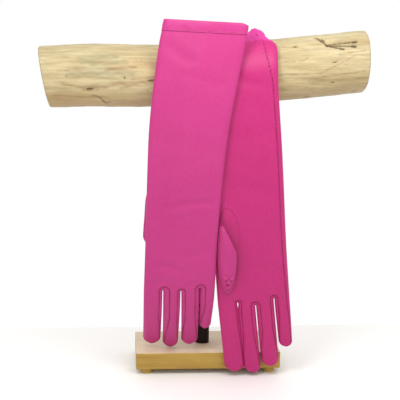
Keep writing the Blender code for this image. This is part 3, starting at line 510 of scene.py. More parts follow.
# Marks on the side of the log that faces the viewer: where along the stand and at what height over the
# log's middle, as a share of the radius, each starts and ends, then its half width and its depth
Mark = namedtuple("Mark", "x0 h0 x1 h1 width depth")
MARKS = {
    "dark": rows_of(Mark, [
        (0.1242, 0.94, 0.1343, 0.68, 0.0011, 0.0012), (0.13, 0.88, 0.133, 0.8, 0.0008, 0.0008),
        (0.134, 0.69, 0.1692, 0.7, 0.0009, 0.001), (0.1655, 0.7, 0.1692, 0.7, 0.0018, 0.0014),
        (0.1343, 0.66, 0.1682, 0.57, 0.0009, 0.001), (0.1645, 0.58, 0.1682, 0.57, 0.0018, 0.0014),
        (0.1343, 0.65, 0.1542, 0.52, 0.0009, 0.001), (0.1505, 0.54, 0.1542, 0.52, 0.0016, 0.0013),
        (0.0966, 0.73, 0.0978, 0.73, 0.001, 0.0006), (0.074, 0.59, 0.0745, 0.59, 0.0009, 0.0005),
        (0.1415, 0.13, 0.144, 0.14, 0.0006, 0.0005), (0.112, -0.93, 0.119, -0.91, 0.001, 0.0004),
        (0.1385, -0.52, 0.144, -0.5, 0.0005, 0.0003), (0.169, -0.9, 0.174, -0.88, 0.0009, 0.0004),
        (0.11, -0.58, 0.113, -0.57, 0.0005, 0.0003),
        (-0.1033, -0.02, -0.1029, -0.02, 0.0011, 0.0008),
        (-0.1455, -0.37, -0.14, -0.36, 0.0018, 0.0006), (-0.076, -0.1, -0.064, -0.06, 0.0012, 0.0),
        (-0.1284, -0.76, -0.124, -0.84, 0.0008, 0.0006),
        (-0.124, -0.84, -0.1201, -0.8, 0.0006, 0.0005),
        (-0.133, -0.62, -0.129, -0.72, 0.0005, 0.0004),
        (-0.17, 0.05, -0.1692, 0.05, 0.0007, 0.0004), (-0.076, -0.4, -0.0752, -0.4, 0.0007, 0.0004),
        (-0.084, 0.52, -0.0832, 0.52, 0.0006, 0.0004), (0.156, 0.02, 0.1568, 0.02, 0.0006, 0.0004),
    ]),
    "brown": rows_of(Mark, [
        (0.1225, 0.93, 0.13, 0.8, 0.0022, 0.0005), (0.1335, 0.67, 0.142, 0.64, 0.0026, 0.0005),
        (0.096, 0.73, 0.0985, 0.73, 0.0024, 0.0006), (0.0735, 0.59, 0.075, 0.59, 0.0019, 0.0006),
        (0.0763, -0.12, 0.1263, -0.18, 0.0008, 0.0003),
        (0.1263, -0.18, 0.1659, 0.26, 0.0008, 0.0003), (0.102, 0.26, 0.111, 0.34, 0.001, 0.0004),
        (0.139, 0.1, 0.146, 0.15, 0.0012, 0.0004), (0.08, 0.3, 0.096, 0.28, 0.0009, 0.0003),
        (0.148, 0.36, 0.18, 0.4, 0.001, 0.0003), (0.13, -0.3, 0.18, -0.24, 0.0009, 0.0003),
        (-0.1495, -0.37, -0.1366, -0.36, 0.0044, 0.0008),
        (-0.1366, -0.36, -0.106, -0.19, 0.0026, 0.0005),
        # This broad mark runs up to the front glove's left edge: brown staining with painted shadow of the
        # glove
        (-0.1048, -0.26, -0.0649, -0.12, 0.0046, 0.0),
        (-0.14, -0.56, -0.131, -0.66, 0.0016, 0.0003),
        (-0.175, -0.18, -0.1495, -0.34, 0.0015, 0.0004), (-0.124, 0.24, -0.09, 0.32, 0.002, 0.0003),
        (-0.095, -0.05, -0.064, 0.02, 0.0014, 0.0003), (-0.18, 0.22, -0.15, 0.3, 0.0012, 0.0003),
        (-0.185, -0.55, -0.15, -0.62, 0.001, 0.0003),
    ]),
    "grey": rows_of(Mark, [
        (-0.153, 0.47, -0.1354, 0.47, 0.0026, 0.0), (-0.164, 0.12, -0.095, 0.1, 0.007, 0.0),
        (-0.155, 0.6, -0.114, 0.62, 0.0046, 0.0), (-0.14, 0.42, -0.102, 0.48, 0.004, 0.0),
    ]),
}
MARK_STRENGTH = {"dark": 0.95, "brown": 0.66, "grey": 0.52}
LOG_ROWS = 330
LOG_SIDES = 190
LOG_SLANT_SHARE = 1.0 / 3.0
LOG_END_ROUND = 0.0022
LOG_END_DROP = 0.0014
# How much flatter the log is here and there, as shares of its radius, and how deep its flutes are
FLAT_DEPTH = 0.012
LOBE_DEPTH = 0.008
FLUTE_DEPTH = 0.00022
# Rings of points on the log's ends, as shares of its section
END_RINGS = (0.85, 0.66, 0.45, 0.22)


def log_marks(x, across, front):
    """How strong each kind of mark is at points of the log, and how deep the marks go."""
    strengths, depth = {}, 0.0 * across
    for kind, marks in MARKS.items():
        strengths[kind] = 0.0 * across
        for mark in marks:
            h0, h1 = math.asin(mark.h0) * LOG_RADIUS, math.asin(mark.h1) * LOG_RADIUS
            _, away = off_line(x, across, mark.x0, h0, mark.x1, h1)
            away = away * (1 + 0.30 * ripple(x * 0.5 / mark.width, across * 0.9 / mark.width, 5.0))
            strength = np.where(front, ease(1.35 - away / mark.width), 0.0)
            strengths[kind] = np.maximum(strengths[kind], MARK_STRENGTH[kind] * strength)
            depth = np.maximum(depth, mark.depth * strength)
    return strengths, depth


def close_log(points, faces, values):
    """Both ends of the log, closed by rings of faces round the middle, with a trace of growth rings."""
    for row in (0, LOG_ROWS - 1):
        ring = points[row * LOG_SIDES : (row + 1) * LOG_SIDES]
        centre = ring.mean(axis=0)
        rim = list(range(row * LOG_SIDES, (row + 1) * LOG_SIDES))
        for share in END_RINGS:
            # Each ring takes brown for the growth rings and a quarter of the under colour, painted shade
            end = {"brown": 0.10 + 0.25 * (0.5 + 0.5 * math.sin(share * 60)), "under": 0.25}
            for key in values:
                values[key] = np.concatenate([values[key], np.full(LOG_SIDES, end.get(key, 0.0))])
            inner = list(range(len(points), len(points) + LOG_SIDES))
            points = np.concatenate([points, centre + (ring - centre) * share])
            for side in range(LOG_SIDES):
                following = (side + 1) % LOG_SIDES
                faces.append((rim[side], rim[following], inner[following], inner[side]))
            rim = inner
        points = np.concatenate([points, centre[None, :]])
        for key in values:
            values[key] = np.concatenate([values[key], [0.5 if key == "brown" else 0.0]])
        for side in range(LOG_SIDES):
            faces.append((rim[side], rim[(side + 1) % LOG_SIDES], len(points) - 1))
    return points


def make_log():
    along = np.linspace(-0.5, 0.5, LOG_ROWS)[:, None]
    angle = (2 * np.pi * np.arange(LOG_SIDES) / LOG_SIDES)[None, :]
    flats = 0.5 + 0.5 * np.sin(2 * angle + 9 * along)
    lobes = 0.5 + 0.5 * np.sin(3 * angle - 14 * along + 1.0)
    radius = LOG_RADIUS * (table(LOG, "girth", along) - FLAT_DEPTH * flats - LOBE_DEPTH * lobes)
    flutes = np.sin(17 * angle + 2.2 * np.sin(9 * along) + 1.3 * np.sin(31 * along))
    radius = radius + FLUTE_DEPTH * flutes - 0.0003
    radius = radius + 0.0003 * ripple(along * 60, angle * 5.0, 2.0)
    slant = np.clip(0.5 - (along + 0.5) / LOG_SLANT_SHARE * 0.5, 0.0, 0.5)
    x = LOG_OFFSET_X + LOG_LENGTH * along - LOG_SLANT * slant * np.sin(angle)
    middle = log_centre_height(x)
    rounding = np.clip(np.minimum(along + 0.5, 0.5 - along) * LOG_LENGTH / LOG_END_ROUND, 0.0, 1.0)
    radius = radius - LOG_END_DROP * (1 - np.sqrt(1 - (1 - rounding) ** 2))
    height = np.sin(angle) + 0 * along
    front = np.cos(angle) < 0.2
    across = np.arcsin(np.clip(height, -1, 1)) * LOG_RADIUS
    values, depth = log_marks(x, across, front)
    radius = radius - depth
    points = np.stack([x + 0 * radius, radius * np.cos(angle), middle + radius * np.sin(angle)], axis=-1)
    # Small brown marks are scattered all round, fainter on the side that faces the viewer
    scatter = ease((ripple(along * 130, angle * 16, 9.0) - 0.80) * 5)
    values["brown"] = np.maximum(values["brown"], 0.35 * scatter * (1 - 0.5 * front))
    # Painted shade: the underside is darker, more so towards the left end
    values["under"] = (0.45 - 0.5 * along) * ease((-np.sin(angle) - 0.25) * 1.6)
    for kind in ("brown", "grey"):
        values[kind] = values[kind] * (0.65 + 0.40 * ripple(along * 90, angle * 46, 3.0))
    values = {key: np.clip(value, 0, 1).ravel() for key, value in values.items()}
    faces = grid_faces(LOG_ROWS, LOG_SIDES, around=True)
    points = close_log(points.reshape(-1, 3), faces, values)
    return make_piece("peeled_log", points, faces, LOG_WOOD, ["log"], values)


# Plan of a glove


def arm_half_width(v):
    return CUFF_WIDTH / 2 * table(ARM, "width", np.minimum(v / ARM_LENGTH, 1.0))


PALM_WIDTH = float(2 * arm_half_width(ARM_LENGTH))


def finger_root(glove, i):
    left = PALM_WIDTH * (sum(finger.root for finger in glove.fingers[:i]) - 0.5)
    return left, left + PALM_WIDTH * glove.fingers[i].root


def crotch_centre(glove, k):
    return finger_root(glove, k)[1], ARM_LENGTH - MIDDLE_LENGTH * glove.rises[k] + FINGER_GAP / 2


def finger_length(glove, i):
    return MIDDLE_LENGTH * glove.fingers[i].length


def finger_edges(glove, i, v):
    """Left and right edge of finger i at v, as it narrows and rounds off at its tip."""
    finger = glove.fingers[i]
    left, right = finger_root(glove, i)
    left += FINGER_GAP / 2 if i > 0 else 0.0
    right -= FINGER_GAP / 2 if i < 3 else 0.0
    length = finger_length(glove, i)
    down = v - ARM_LENGTH
    half = (right - left) / 2
    half_here = half * (1 - (1 - finger.tip) * ease(down / length))
    tip_start = length - half * finger.tip
    off = np.clip((down - tip_start) / (length - tip_start), 0.0, 1.0)
    half_here = half_here * (1 - off**2.3) ** 0.45
    centre = (left + right) / 2 + finger.lean * np.maximum(down, 0.0)
    # The rear hand's first two fingers lie against each other
    close = FINGER_CLOSE * ease(down / FINGER_CLOSE_LENGTH) * (1 - off) if glove.palm_to_viewer else 0.0
    return centre - half_here - close * (i == 1), centre + half_here + close * (i == 0)


def outline(glove, v):
    half = arm_half_width(v)
    left = np.where(v <= ARM_LENGTH, -half, finger_edges(glove, 0, v)[0])
    right = np.where(v <= ARM_LENGTH, half, finger_edges(glove, 3, v)[1])
    return left, right


def seam_inset(v):
    inset = CUFF_WIDTH * table(SIDE_SEAM, "inset", np.minimum(v / ARM_LENGTH, 1.0))
    fade = ease((v - ARM_LENGTH) / (SEAM_FADE * MIDDLE_LENGTH))
    return inset + (SEAM_ON_FINGER - inset) * fade


def edge_distance(glove, u, v, i):
    """Distance from points of strip i to the nearest edge of the plan."""
    left, right = outline(glove, v)
    down = v > ARM_LENGTH
    far = np.full(u.shape, 1.0)
    near = np.where(down & (i != 0), far, u - left)
    near = np.minimum(near, np.where(down & (i != 3), far, right - u))
    for k in range(3):
        centre_u, centre_v = crotch_centre(glove, k)
        arch = np.hypot(u - centre_u, v - centre_v) - FINGER_GAP / 2
        if k == i:
            beside = finger_edges(glove, i, v)[1] - u
        elif k == i - 1:
            beside = u - finger_edges(glove, i, v)[0]
        else:
            beside = far
        near = np.minimum(near, np.where(v <= centre_v, arch, beside))
    return np.maximum(near, 0.0)


def gather(u, v):
    """Where the gathered cuff of the rear glove takes u, and how far it stands out there."""
    fade = ease(1 - v / GATHER_LENGTH)
    off = np.minimum(np.abs(u - PUFF_PLACE) / PUFF_HALF_WIDTH, 1.0)
    puff = (PUFF_HEIGHT - KNOT_HEIGHT) * fade * (0.5 + 0.5 * np.cos(np.pi * off))
    knot = np.hypot((u - KNOT_PLACE) / KNOT_HALF_WIDTH, v / KNOT_LENGTH)
    puff = puff + KNOT_HEIGHT * (np.sqrt(np.clip(1 - knot**2, 0.0, 1.0)) + 0.5 * ease(1.6 - knot))
    pleats = PLEAT_HEIGHT * fade * np.sin(u * 1250 + 5 * v / GATHER_LENGTH + 2 * np.sin(u * 420))
    pleats = pleats * ease((u - 0.004) / 0.02) * ease((0.046 - u) / 0.008)
    return u * (1 + (table(SHOULDER, "share", v) - 1) * ease(u / PUFF_PLACE)), puff + pleats


def spread(glove, v):
    """How much wider the rear hand's index side is at v, as a share of u."""
    most = SPREAD if glove.palm_to_viewer else 0.0
    return most * ease((v / ARM_LENGTH - SPREAD_START) / SPREAD_LENGTH)


def middle_line(glove, v):
    return CUFF_WIDTH * table(glove.hang, "sideways", np.minimum(v / ARM_LENGTH, 1.0))


def hang(glove, u, v, n):
    """Places of points of the glove's plan, n above its middle layer, as it hangs on the stand."""
    along = np.minimum(v / ARM_LENGTH, 1.0)
    middle = middle_line(glove, v)
    share = ease((u / PALM_WIDTH - TILT_START) / TILT_WIDTH)
    forward = drape(glove, u, v) + HALF_THICKNESS * (
        (1 - share) * table(glove.hang, "index_forward", along)
        + share * table(glove.hang, "little_forward", along)
    )
    radius = LOG_RADIUS + LOG_CLEARANCE + HALF_THICKNESS
    if glove.palm_to_viewer:
        u, puff = gather(u, v)
        x = middle + u + spread(glove, v) * np.minimum(u, 0.0)
        forward = forward + puff
        drop = v - REAR_OVER_LOG
        top = log_centre_height(middle)
        lifted = (log_centre_height(x) - top) * ease((FADE_LENGTH - drop) / FADE_LENGTH)
        turn = CUFF_STRETCH * np.maximum(-drop, 0.0) / radius
        reach = radius + n + forward
        y = np.where(drop < 0, -reach * np.cos(turn), -reach)
        z = np.where(drop < 0, top + lifted + reach * np.sin(turn), top + lifted - drop)
        return np.stack(np.broadcast_arrays(x, y, z), axis=-1)
    x = middle + u
    top = log_centre_height(np.zeros(1))[0] + FRONT_CUFF_RISE
    start = ARM_LENGTH - FRONT_CURL_START
    bend = np.maximum(v - start, 0.0) / FRONT_CURL_RADIUS
    reach = FRONT_CURL_RADIUS - n
    curled = -radius - forward + FRONT_CURL_RADIUS - reach * np.cos(bend)
    y = np.where(bend > 0, curled, -radius + n - forward)
    sag = (CUFF_SAG + CUFF_SAG_SLOPE * u) * ease(1 - v / CUFF_SAG_LENGTH)
    sag = sag + CORNER_DROP * ease((u - CORNER_START) / CORNER_WIDTH) * ease(1 - v / CORNER_LENGTH)
    z = np.where(bend > 0, top - start - reach * np.sin(bend), top - v - sag)
    return np.stack(np.broadcast_arrays(x, y, z), axis=-1)


# Relief of the cloth

# The palm's cloth stands out under the thumb, over these shares of the hole's width and length
GUSSET_HEIGHT = 0.0028
GUSSET_WIDTH = 0.60
GUSSET_LENGTH = 0.56


def drape(glove, u, v):
    """How far the whole cloth swings towards the viewer: broad waves and soft creases."""
    seed = 3.0 if glove.palm_to_viewer else 7.0
    total = 0.0005 * ripple(u * 70, v * 26, seed) + 0.0003 * ripple(u * 130, v * 60, seed + 2)
    for crease in glove.creases:
        t, away = off_line(u, v, crease.u0, crease.v0, crease.u1, crease.v1, crease.bow)
        away = away / crease.width
        ends = ease(np.minimum(t, 1 - t) * 5)
        total = total - crease.depth * np.exp(-(away**2)) * ends
        total = total + 0.45 * crease.depth * np.exp(-((away - 1.7) ** 2)) * ends
    return total


def thumb_hole():
    v = ARM_LENGTH * THUMB_HOLE_PLACE
    u = -float(arm_half_width(v)) + THUMB_HOLE_INSET + THUMB_HOLE_WIDTH / 2
    return u, v


def gusset(u, v, side):
    """How far the cloth stands out under the thumb, which it does on the palm's side alone."""
    if side < 0:
        return 0.0
    hole_u, hole_v = thumb_hole()
    across = (u - hole_u) / (THUMB_HOLE_WIDTH * GUSSET_WIDTH)
    down = (v - hole_v) / (THUMB_HOLE_LENGTH * GUSSET_LENGTH)
    return GUSSET_HEIGHT * ease(1.25 - np.hypot(across, down))


def side_height(glove, u, v, i, side):
    """How high strip i stands over the middle layer, and the slope of its rounded edge as a sine."""
    distance = edge_distance(glove, u, v, i)
    cosine = 1 - np.minimum(distance / EDGE_ROUND, 1.0)
    sine = np.sqrt(np.maximum(1 - cosine**2, 0.0))
    return (HALF_THICKNESS + gusset(u, v, side)) * sine, sine


# Seams

SEAM_STEP = 0.0011
SEAM_ARCH_STEPS = 18
SIDE_SEAM_END = 0.004
GROOVE_DEPTH = 0.00042
GROOVE_WIDTH = 0.0010
PUCKER_HEIGHT = 0.00016
# The part of the seam round the thumb's root that shows, in degrees from the side away from the edge
GUSSET_FROM = -42.0
GUSSET_TO = 128.0
GUSSET_STEPS = 96


def seam_depth(glove, k, towards, angle):
    left, right = glove.fingers[k], glove.fingers[k + 1]
    left_depth = left.right_seam * PALM_WIDTH * left.root
    right_depth = right.left_seam * PALM_WIDTH * right.root
    top = (left_depth + right_depth) / 2
    side = left_depth if towards < 0 else right_depth
    return top + (side - top) * math.sin(angle)


def gap_seam(glove, k):
    """Points (u, v, strip) of the seam round gap k, from one fingertip over the arch to the next."""
    half = []
    for towards, i in ((-1, k), (1, k + 1)):
        points = []
        centre_u, centre_v = crotch_centre(glove, k)
        for step in range(SEAM_ARCH_STEPS):
            angle = math.pi / 2 * step / SEAM_ARCH_STEPS
            reach = FINGER_GAP / 2 + seam_depth(glove, k, towards, angle)
            u = centre_u + towards * reach * math.sin(angle)
            points.append((u, centre_v - reach * math.cos(angle), i))
        left, right = finger_root(glove, i)
        last = ARM_LENGTH + finger_length(glove, i) - (right - left) / 2 * FINGER_TIP
        count = int((last - centre_v) / SEAM_STEP)
        for step in range(count + 1):
            value = step / count
            v = centre_v + (last - centre_v) * value
            taper = 1 - STRIP_TAPER * float(ease((value - STRIP_TAPER_START) / (1 - STRIP_TAPER_START)))
            depth = seam_depth(glove, k, towards, math.pi / 2) * taper
            edge_left, edge_right = finger_edges(glove, i, np.array(v))
            u = float(edge_right) - depth if towards < 0 else float(edge_left) + depth
            points.append((u, v, i))
        half.append(points)
    return half[0][::-1] + half[1][1:]


def side_seam(glove):
    """Points (u, v, strip) down the side seam, from the hem to the little finger's tip."""
    end = ARM_LENGTH + finger_length(glove, 3) - SIDE_SEAM_END
    points = []
    for v in np.arange(HEM_HEIGHT * 0.2, end, SEAM_STEP):
        edge = float(outline(glove, np.array(v))[1])
        bend = 0.0
        if glove.palm_to_viewer:
            bend = SEAM_BEND * float(ease((SEAM_BEND_END - v) / SEAM_BEND_LENGTH))
        points.append((edge - float(seam_inset(np.array(v))) - bend, float(v), 3))
    return points


def gusset_seam():
    """Points (u, v, strip) of the seam round the thumb's root, where it shows."""
    hole_u, hole_v = thumb_hole()
    points = []
    for step in range(GUSSET_STEPS + 1):
        angle = math.radians(GUSSET_FROM + (GUSSET_TO - GUSSET_FROM) * step / GUSSET_STEPS)
        u = hole_u + THUMB_HOLE_WIDTH / 2 * math.cos(angle)
        v = hole_v - THUMB_HOLE_LENGTH / 2 * math.sin(angle)
        points.append((u, v, 0))
    return points


def seams_of(glove, side):
    """The seams on one side of a glove, each a list of (u, v, strip)."""
    found = [gap_seam(glove, k) for k in range(3)]
    if side > 0:
        found += [side_seam(glove), gusset_seam()]
    return found


def seam_effect(glove, side, u, v):
    """(groove, pucker, painted shade) at points of the plan, from the nearest seam."""
    points = [point for seam in seams_of(glove, side) for point in seam]
    tree = kdtree.KDTree(len(points))
    for index, (pu, pv, _) in enumerate(points):
        tree.insert((pu, pv, 0.0), index)
    tree.balance()
    nearest = [tree.find((pu, pv, 0.0))[1:] for pu, pv in zip(u.ravel(), v.ravel())]
    along, away = np.array(nearest).T.reshape(2, *u.shape)
    ridge = PUCKER_HEIGHT * np.exp(-(((away - 0.0024) / 0.0012) ** 2))
    groove = -GROOVE_DEPTH * np.exp(-((away / GROOVE_WIDTH) ** 2)) + ridge
    pucker = PUCKER_HEIGHT * np.sin(along * 1.9) * np.exp(-((away - 0.0016) / 0.0022) ** 2)
    # Painted shade in the seam's groove
    painted_shade = 0.62 * np.exp(-((away / 0.0008) ** 2))
    if side > 0:
        # The seam round the thumb's root is fainter, and comes last in the list
        painted_shade = np.where(along >= len(points) - len(gusset_seam()), 0.35 * painted_shade, painted_shade)
    return groove, pucker, painted_shade


# Shell of a glove


def satin_of(glove):
    # The rear glove takes the deeper copy of the satin, painted shade
    return PINK_REAR_SHADED if glove.palm_to_viewer else PINK


STRIP_CELLS = 22
ROW_STEP = 0.00105
TIP_CELLS = 10
SHELL_START = HEM_HEIGHT - 0.0012


def slit_half_width(glove, k, v):
    _, centre_v = crotch_centre(glove, k)
    radius = FINGER_GAP / 2
    off = np.clip((centre_v - v) / radius, 0.0, 1.0)
    return radius * np.sqrt(1 - off**2)


def border(glove, k, v, towards):
    """The edge of the strip beside gap k: towards -1 is the finger left of it, 1 the right."""
    scaled = finger_root(glove, k)[1] * arm_half_width(v) / arm_half_width(ARM_LENGTH)
    right = finger_edges(glove, k, v)[1]
    left = finger_edges(glove, k + 1, v)[0]
    _, centre_v = crotch_centre(glove, k)
    line = np.where(v <= ARM_LENGTH, scaled, (left + right) / 2)
    opened = left if towards > 0 else right
    closed = line + towards * slit_half_width(glove, k, v)
    return np.where(v > centre_v, np.where(v > ARM_LENGTH, opened, closed), closed)


def strip_grid(glove, i, rows):
    left = outline(glove, rows)[0] if i == 0 else border(glove, i - 1, rows, 1)
    right = outline(glove, rows)[1] if i == 3 else border(glove, i, rows, -1)
    share = 0.5 - 0.5 * np.cos(np.pi * np.arange(STRIP_CELLS + 1) / STRIP_CELLS)
    if 0 < i < 3:
        share = 0.7 * share + 0.3 * np.arange(STRIP_CELLS + 1) / STRIP_CELLS
    u = left[:, None] + (right - left)[:, None] * share[None, :]
    v = rows[:, None] + 0 * u
    return u, v


def strip_rows(glove, i):
    """Rows of v down strip i, the same for all strips as far as the last gap's start."""
    common_end = max(crotch_centre(glove, k)[1] for k in range(3)) + 0.0012
    arm = np.linspace(SHELL_START, common_end, int((common_end - SHELL_START) / ROW_STEP))
    left, right = finger_root(glove, i)
    half = (right - left) / 2 * glove.fingers[i].tip
    end = ARM_LENGTH + finger_length(glove, i)
    straight = end - half
    count = int((straight - common_end) / ROW_STEP)
    finger = np.linspace(common_end, straight, count)[1:]
    tip = straight + (end - straight) * np.sin(np.pi / 2 * np.arange(1, TIP_CELLS + 1) / TIP_CELLS)
    return np.concatenate([arm, finger, tip])


def thumb_shade(glove, u, v):
    """Painted shade on the cloth close beside the thumb, deepest in the fold above it."""
    first, last = glove.thumb[0].along, glove.thumb[-1].along
    x = middle_line(glove, v) + u + spread(glove, v) * np.minimum(u, 0.0)
    away = x - table(glove.thumb, "right", v)
    inside = ease((v - first + 0.012) / 0.02) * ease((last - v) / 0.03)
    beside = 0.22 * np.exp(-((away / 0.0045) ** 2)) + 0.24 * np.exp(-((away / 0.014) ** 2))
    fold = 0.5 * np.exp(-((away / 0.0030) ** 2) - ((v - first + 0.004) / 0.008) ** 2)
    return beside * inside + fold


def make_shell(glove):
    points, faces, painted_shades = [], [], []
    for side in (-1, 1):
        for i in range(4):
            rows = strip_rows(glove, i)
            u, v = strip_grid(glove, i, rows)
            height, sine = side_height(glove, u, v, i, side)
            groove, pucker, painted_shade = seam_effect(glove, side, u, v)
            n = side * (height + (groove + pucker) * sine)
            # On the palm's side the cloth takes the deeper of the seams' painted shade and the painted
            # shade beside the thumb
            if side > 0:
                painted_shade = np.maximum(painted_shade, thumb_shade(glove, u, v))
            start = sum(len(p) for p in points)
            points.append(hang(glove, u, v, n).reshape(-1, 3))
            painted_shades.append(painted_shade.ravel())
            faces += grid_faces(*u.shape, start=start, flip=side > 0)
    nodes = ["back", "palm", "side_strip_index_middle", "side_strip_middle_ring", "side_strip_ring_little"]
    nodes = [f"{glove.name}_{node}" for node in nodes]
    points, painted_shade = np.concatenate(points), {"seam": np.concatenate(painted_shades)}
    return make_piece(f"{glove.name}_shell", points, faces, satin_of(glove), nodes, painted_shade, 4e-6)


def ring_plan(glove, rows, count, inset):
    """A closed ring of points round the flattened arm at each row: u, v, n on the surface."""
    turn = 2 * np.pi * np.arange(count) / count
    left, right = outline(glove, rows)
    flat = np.sign(np.cos(turn)) * np.abs(np.cos(turn)) ** 0.55
    u = (left + right)[:, None] / 2 + ((right - left)[:, None] / 2) * flat[None, :]
    v = rows[:, None] + 0 * u
    distance = np.minimum(u - left[:, None], right[:, None] - u)
    cosine = 1 - np.clip(distance / EDGE_ROUND, 0.0, 1.0)
    sine = np.sqrt(1 - cosine**2)
    side = -np.sign(np.sin(turn))[None, :] * np.where(np.abs(np.sin(turn)) < 1e-9, 0.0, 1.0)
    n = side * (HALF_THICKNESS + inset[:, None]) * sine
    u = u + (inset[:, None] * cosine) * np.sign(u - (left + right)[:, None] / 2)
    return u, v, n


HEM_COLUMNS = 200
LINING_END = 0.150
LINING_DEPTH = 0.0011
LINING_ROWS = 60
LINING_COLUMNS = 120
THUMB_ROWS = 110
THUMB_SIDES = 56


def make_hem(glove):
    """The turned band round the cuff: proud of the arm, rounded at its end and turned in."""
    # Places down the band, and how far it stands off the arm there
    profile = [
        (HEM_HEIGHT - 0.0002, 0.00005), (HEM_HEIGHT, 0.00045), (HEM_HEIGHT - 0.0012, 0.00062),
        (HEM_HEIGHT - 0.0022, 0.00038), (HEM_HEIGHT - 0.0045, 0.00075),
        (HEM_HEIGHT * 0.45, 0.00090), (HEM_HEIGHT * 0.20, 0.00080), (0.0010, 0.00068),
        (0.0003, 0.00040), (0.0000, -0.0001), (0.0004, -0.00075), (0.0015, -0.00100),
        (HEM_HEIGHT * 0.5, -0.00105), (HEM_HEIGHT + 0.001, -0.00100),
    ]
    rows = np.array([v for v, _ in profile])
    inset = np.array([proud for _, proud in profile])
    if glove.palm_to_viewer:
        # Stretched over the log, the band lies flat and its lower edge slips under the arm's cloth
        inset = np.where(inset > 0, inset * (1 - 0.9 * ease(rows / HEM_HEIGHT)), inset)
        rows[:2] += (0.0010, 0.0002)
        inset[:3] = (-0.00045, -0.00015, -0.00002)
    u, v, n = ring_plan(glove, rows, HEM_COLUMNS, inset)
    n = n * (1 + 0.03 * ripple(u * 260, v * 500, 4.0))
    points = hang(glove, u, v, n).reshape(-1, 3)
    painted_shade = 0 * u
    # On the front glove, painted shade under the band's lower lip and in the groove of its stitches
    if not glove.palm_to_viewer:
        painted_shade[0] = 0.16
        painted_shade[3] = 0.12
    faces = grid_faces(len(profile), HEM_COLUMNS, around=True)
    # The rear band takes the lighter copy of the satin, painted light
    finish = PINK_KNOT_LIT if glove.palm_to_viewer else PINK_HEM
    nodes, painted_shade = [f"{glove.name}_cuff_hem"], {"seam": painted_shade.ravel()}
    return make_piece(f"{glove.name}_hem_band", points, faces, finish, nodes, painted_shade)


def make_lining(glove):
    """The inside of the arm, seen through the open cuff, darkened with painted shade."""
    rows = np.linspace(HEM_HEIGHT, LINING_END, LINING_ROWS)
    inset = np.full(len(rows), -LINING_DEPTH)
    u, v, n = ring_plan(glove, rows, LINING_COLUMNS, inset)
    points = hang(glove, u, v, n).reshape(-1, 3)
    faces = grid_faces(len(rows), LINING_COLUMNS, around=True, flip=True)
    # Painted shade inside the sleeve
    painted_shade = {"seam": np.full(len(points), 0.35)}
    return make_piece(f"{glove.name}_lining", points, faces, satin_of(glove), (), painted_shade)


def make_thumb(glove):
    """The flattened thumb, which lies on the palm and comes to a crumpled tip."""
    rows = glove.thumb
    first, last = rows[0].along, rows[-1].along
    along = 0.5 - 0.5 * np.cos(np.pi * np.arange(THUMB_ROWS + 1) / THUMB_ROWS)
    along = first + (last - first) * along
    left = table(rows, "left", along)[:, None]
    right = table(rows, "right", along)[:, None]
    thick = table(rows, "thick", along)[:, None]
    turn = (2 * np.pi * np.arange(THUMB_SIDES) / THUMB_SIDES)[None, :]
    across = np.sign(np.cos(turn)) * np.abs(np.cos(turn)) ** 0.85
    x = (left + right) / 2 + (right - left) / 2 * across
    u = x - middle_line(glove, along)[:, None]
    u = np.where(u < 0, u / (1 + spread(glove, along)[:, None]), u)
    v = along[:, None] + 0 * u
    bed = side_height(glove, u, v, 0, 1)[0] * ease((along - first) / 0.012)[:, None]
    bed = np.maximum(bed, HALF_THICKNESS * 0.7)
    sink = 0.0010 * (1 - ease((along - first) / 0.03))[:, None]
    n = bed - sink + thick / 2 + thick / 2 * np.sin(turn) * (1 - 0.25 * np.abs(across) ** 3)
    tip = ease((along - last + 0.032) / 0.014)[:, None]
    crumple = 0.0026 * tip * ripple(u * 620, v * 540, 6.0) + 0.0008 * tip * ripple(u * 1300, v * 1100, 8.0)
    folds = 0.0007 * ripple(u * 420, v * 70, 5.0)
    n = n + (crumple + folds) * np.maximum(np.sin(turn), 0) * np.minimum(thick / 0.006, 1.0)
    points = hang(glove, u, v, n).reshape(-1, 3)
    faces = closed_tube_faces(THUMB_ROWS + 1, THUMB_SIDES)
    nodes, painted_shade = [f"{glove.name}_thumb"], {"seam": np.zeros(len(points))}
    # Both thumbs take the front glove's satin, so the rear thumb is painted lighter than the rest of its
    # glove
    return make_piece(f"{glove.name}_thumb_sleeve", points, faces, PINK, nodes, painted_shade)


SEAM_RADIUS = 0.0003
HEM_PROUD = 0.00085
# A stitch: places of its four points along the seam, and their heights over the cloth
STITCH_RADIUS = 0.00022
STITCH_PITCH = 0.0029
STITCH_PROUD = 0.0005
STITCH_POINTS = np.array([0.0, 0.0006, 0.0016, 0.0022])
STITCH_HEIGHTS = np.array([-0.0001, 0.00012, 0.00012, -0.0001])


def tube(path, radius, sides=6):
    """Points and faces of a thin closed tube along places."""
    ahead = np.gradient(path, axis=0)
    ahead /= np.linalg.norm(ahead, axis=1)[:, None] + 1e-12
    up = np.cross(ahead, np.array([0.0, -1.0, 0.05]))
    up /= np.linalg.norm(up, axis=1)[:, None] + 1e-12
    out = np.cross(up, ahead)
    points = []
    for side in range(sides):
        angle = 2 * math.pi * side / sides
        points.append(path + radius * (math.cos(angle) * up + math.sin(angle) * out))
    return np.stack(points, axis=1).reshape(-1, 3), closed_tube_faces(len(path), sides)


def joined(parts):
    """The points and faces of several meshes as those of one."""
    points, faces, start = [], [], 0
    for part_points, part_faces in parts:
        points.append(part_points)
        faces += [tuple(start + corner for corner in face) for face in part_faces]
        start += len(part_points)
    return np.concatenate(points), faces


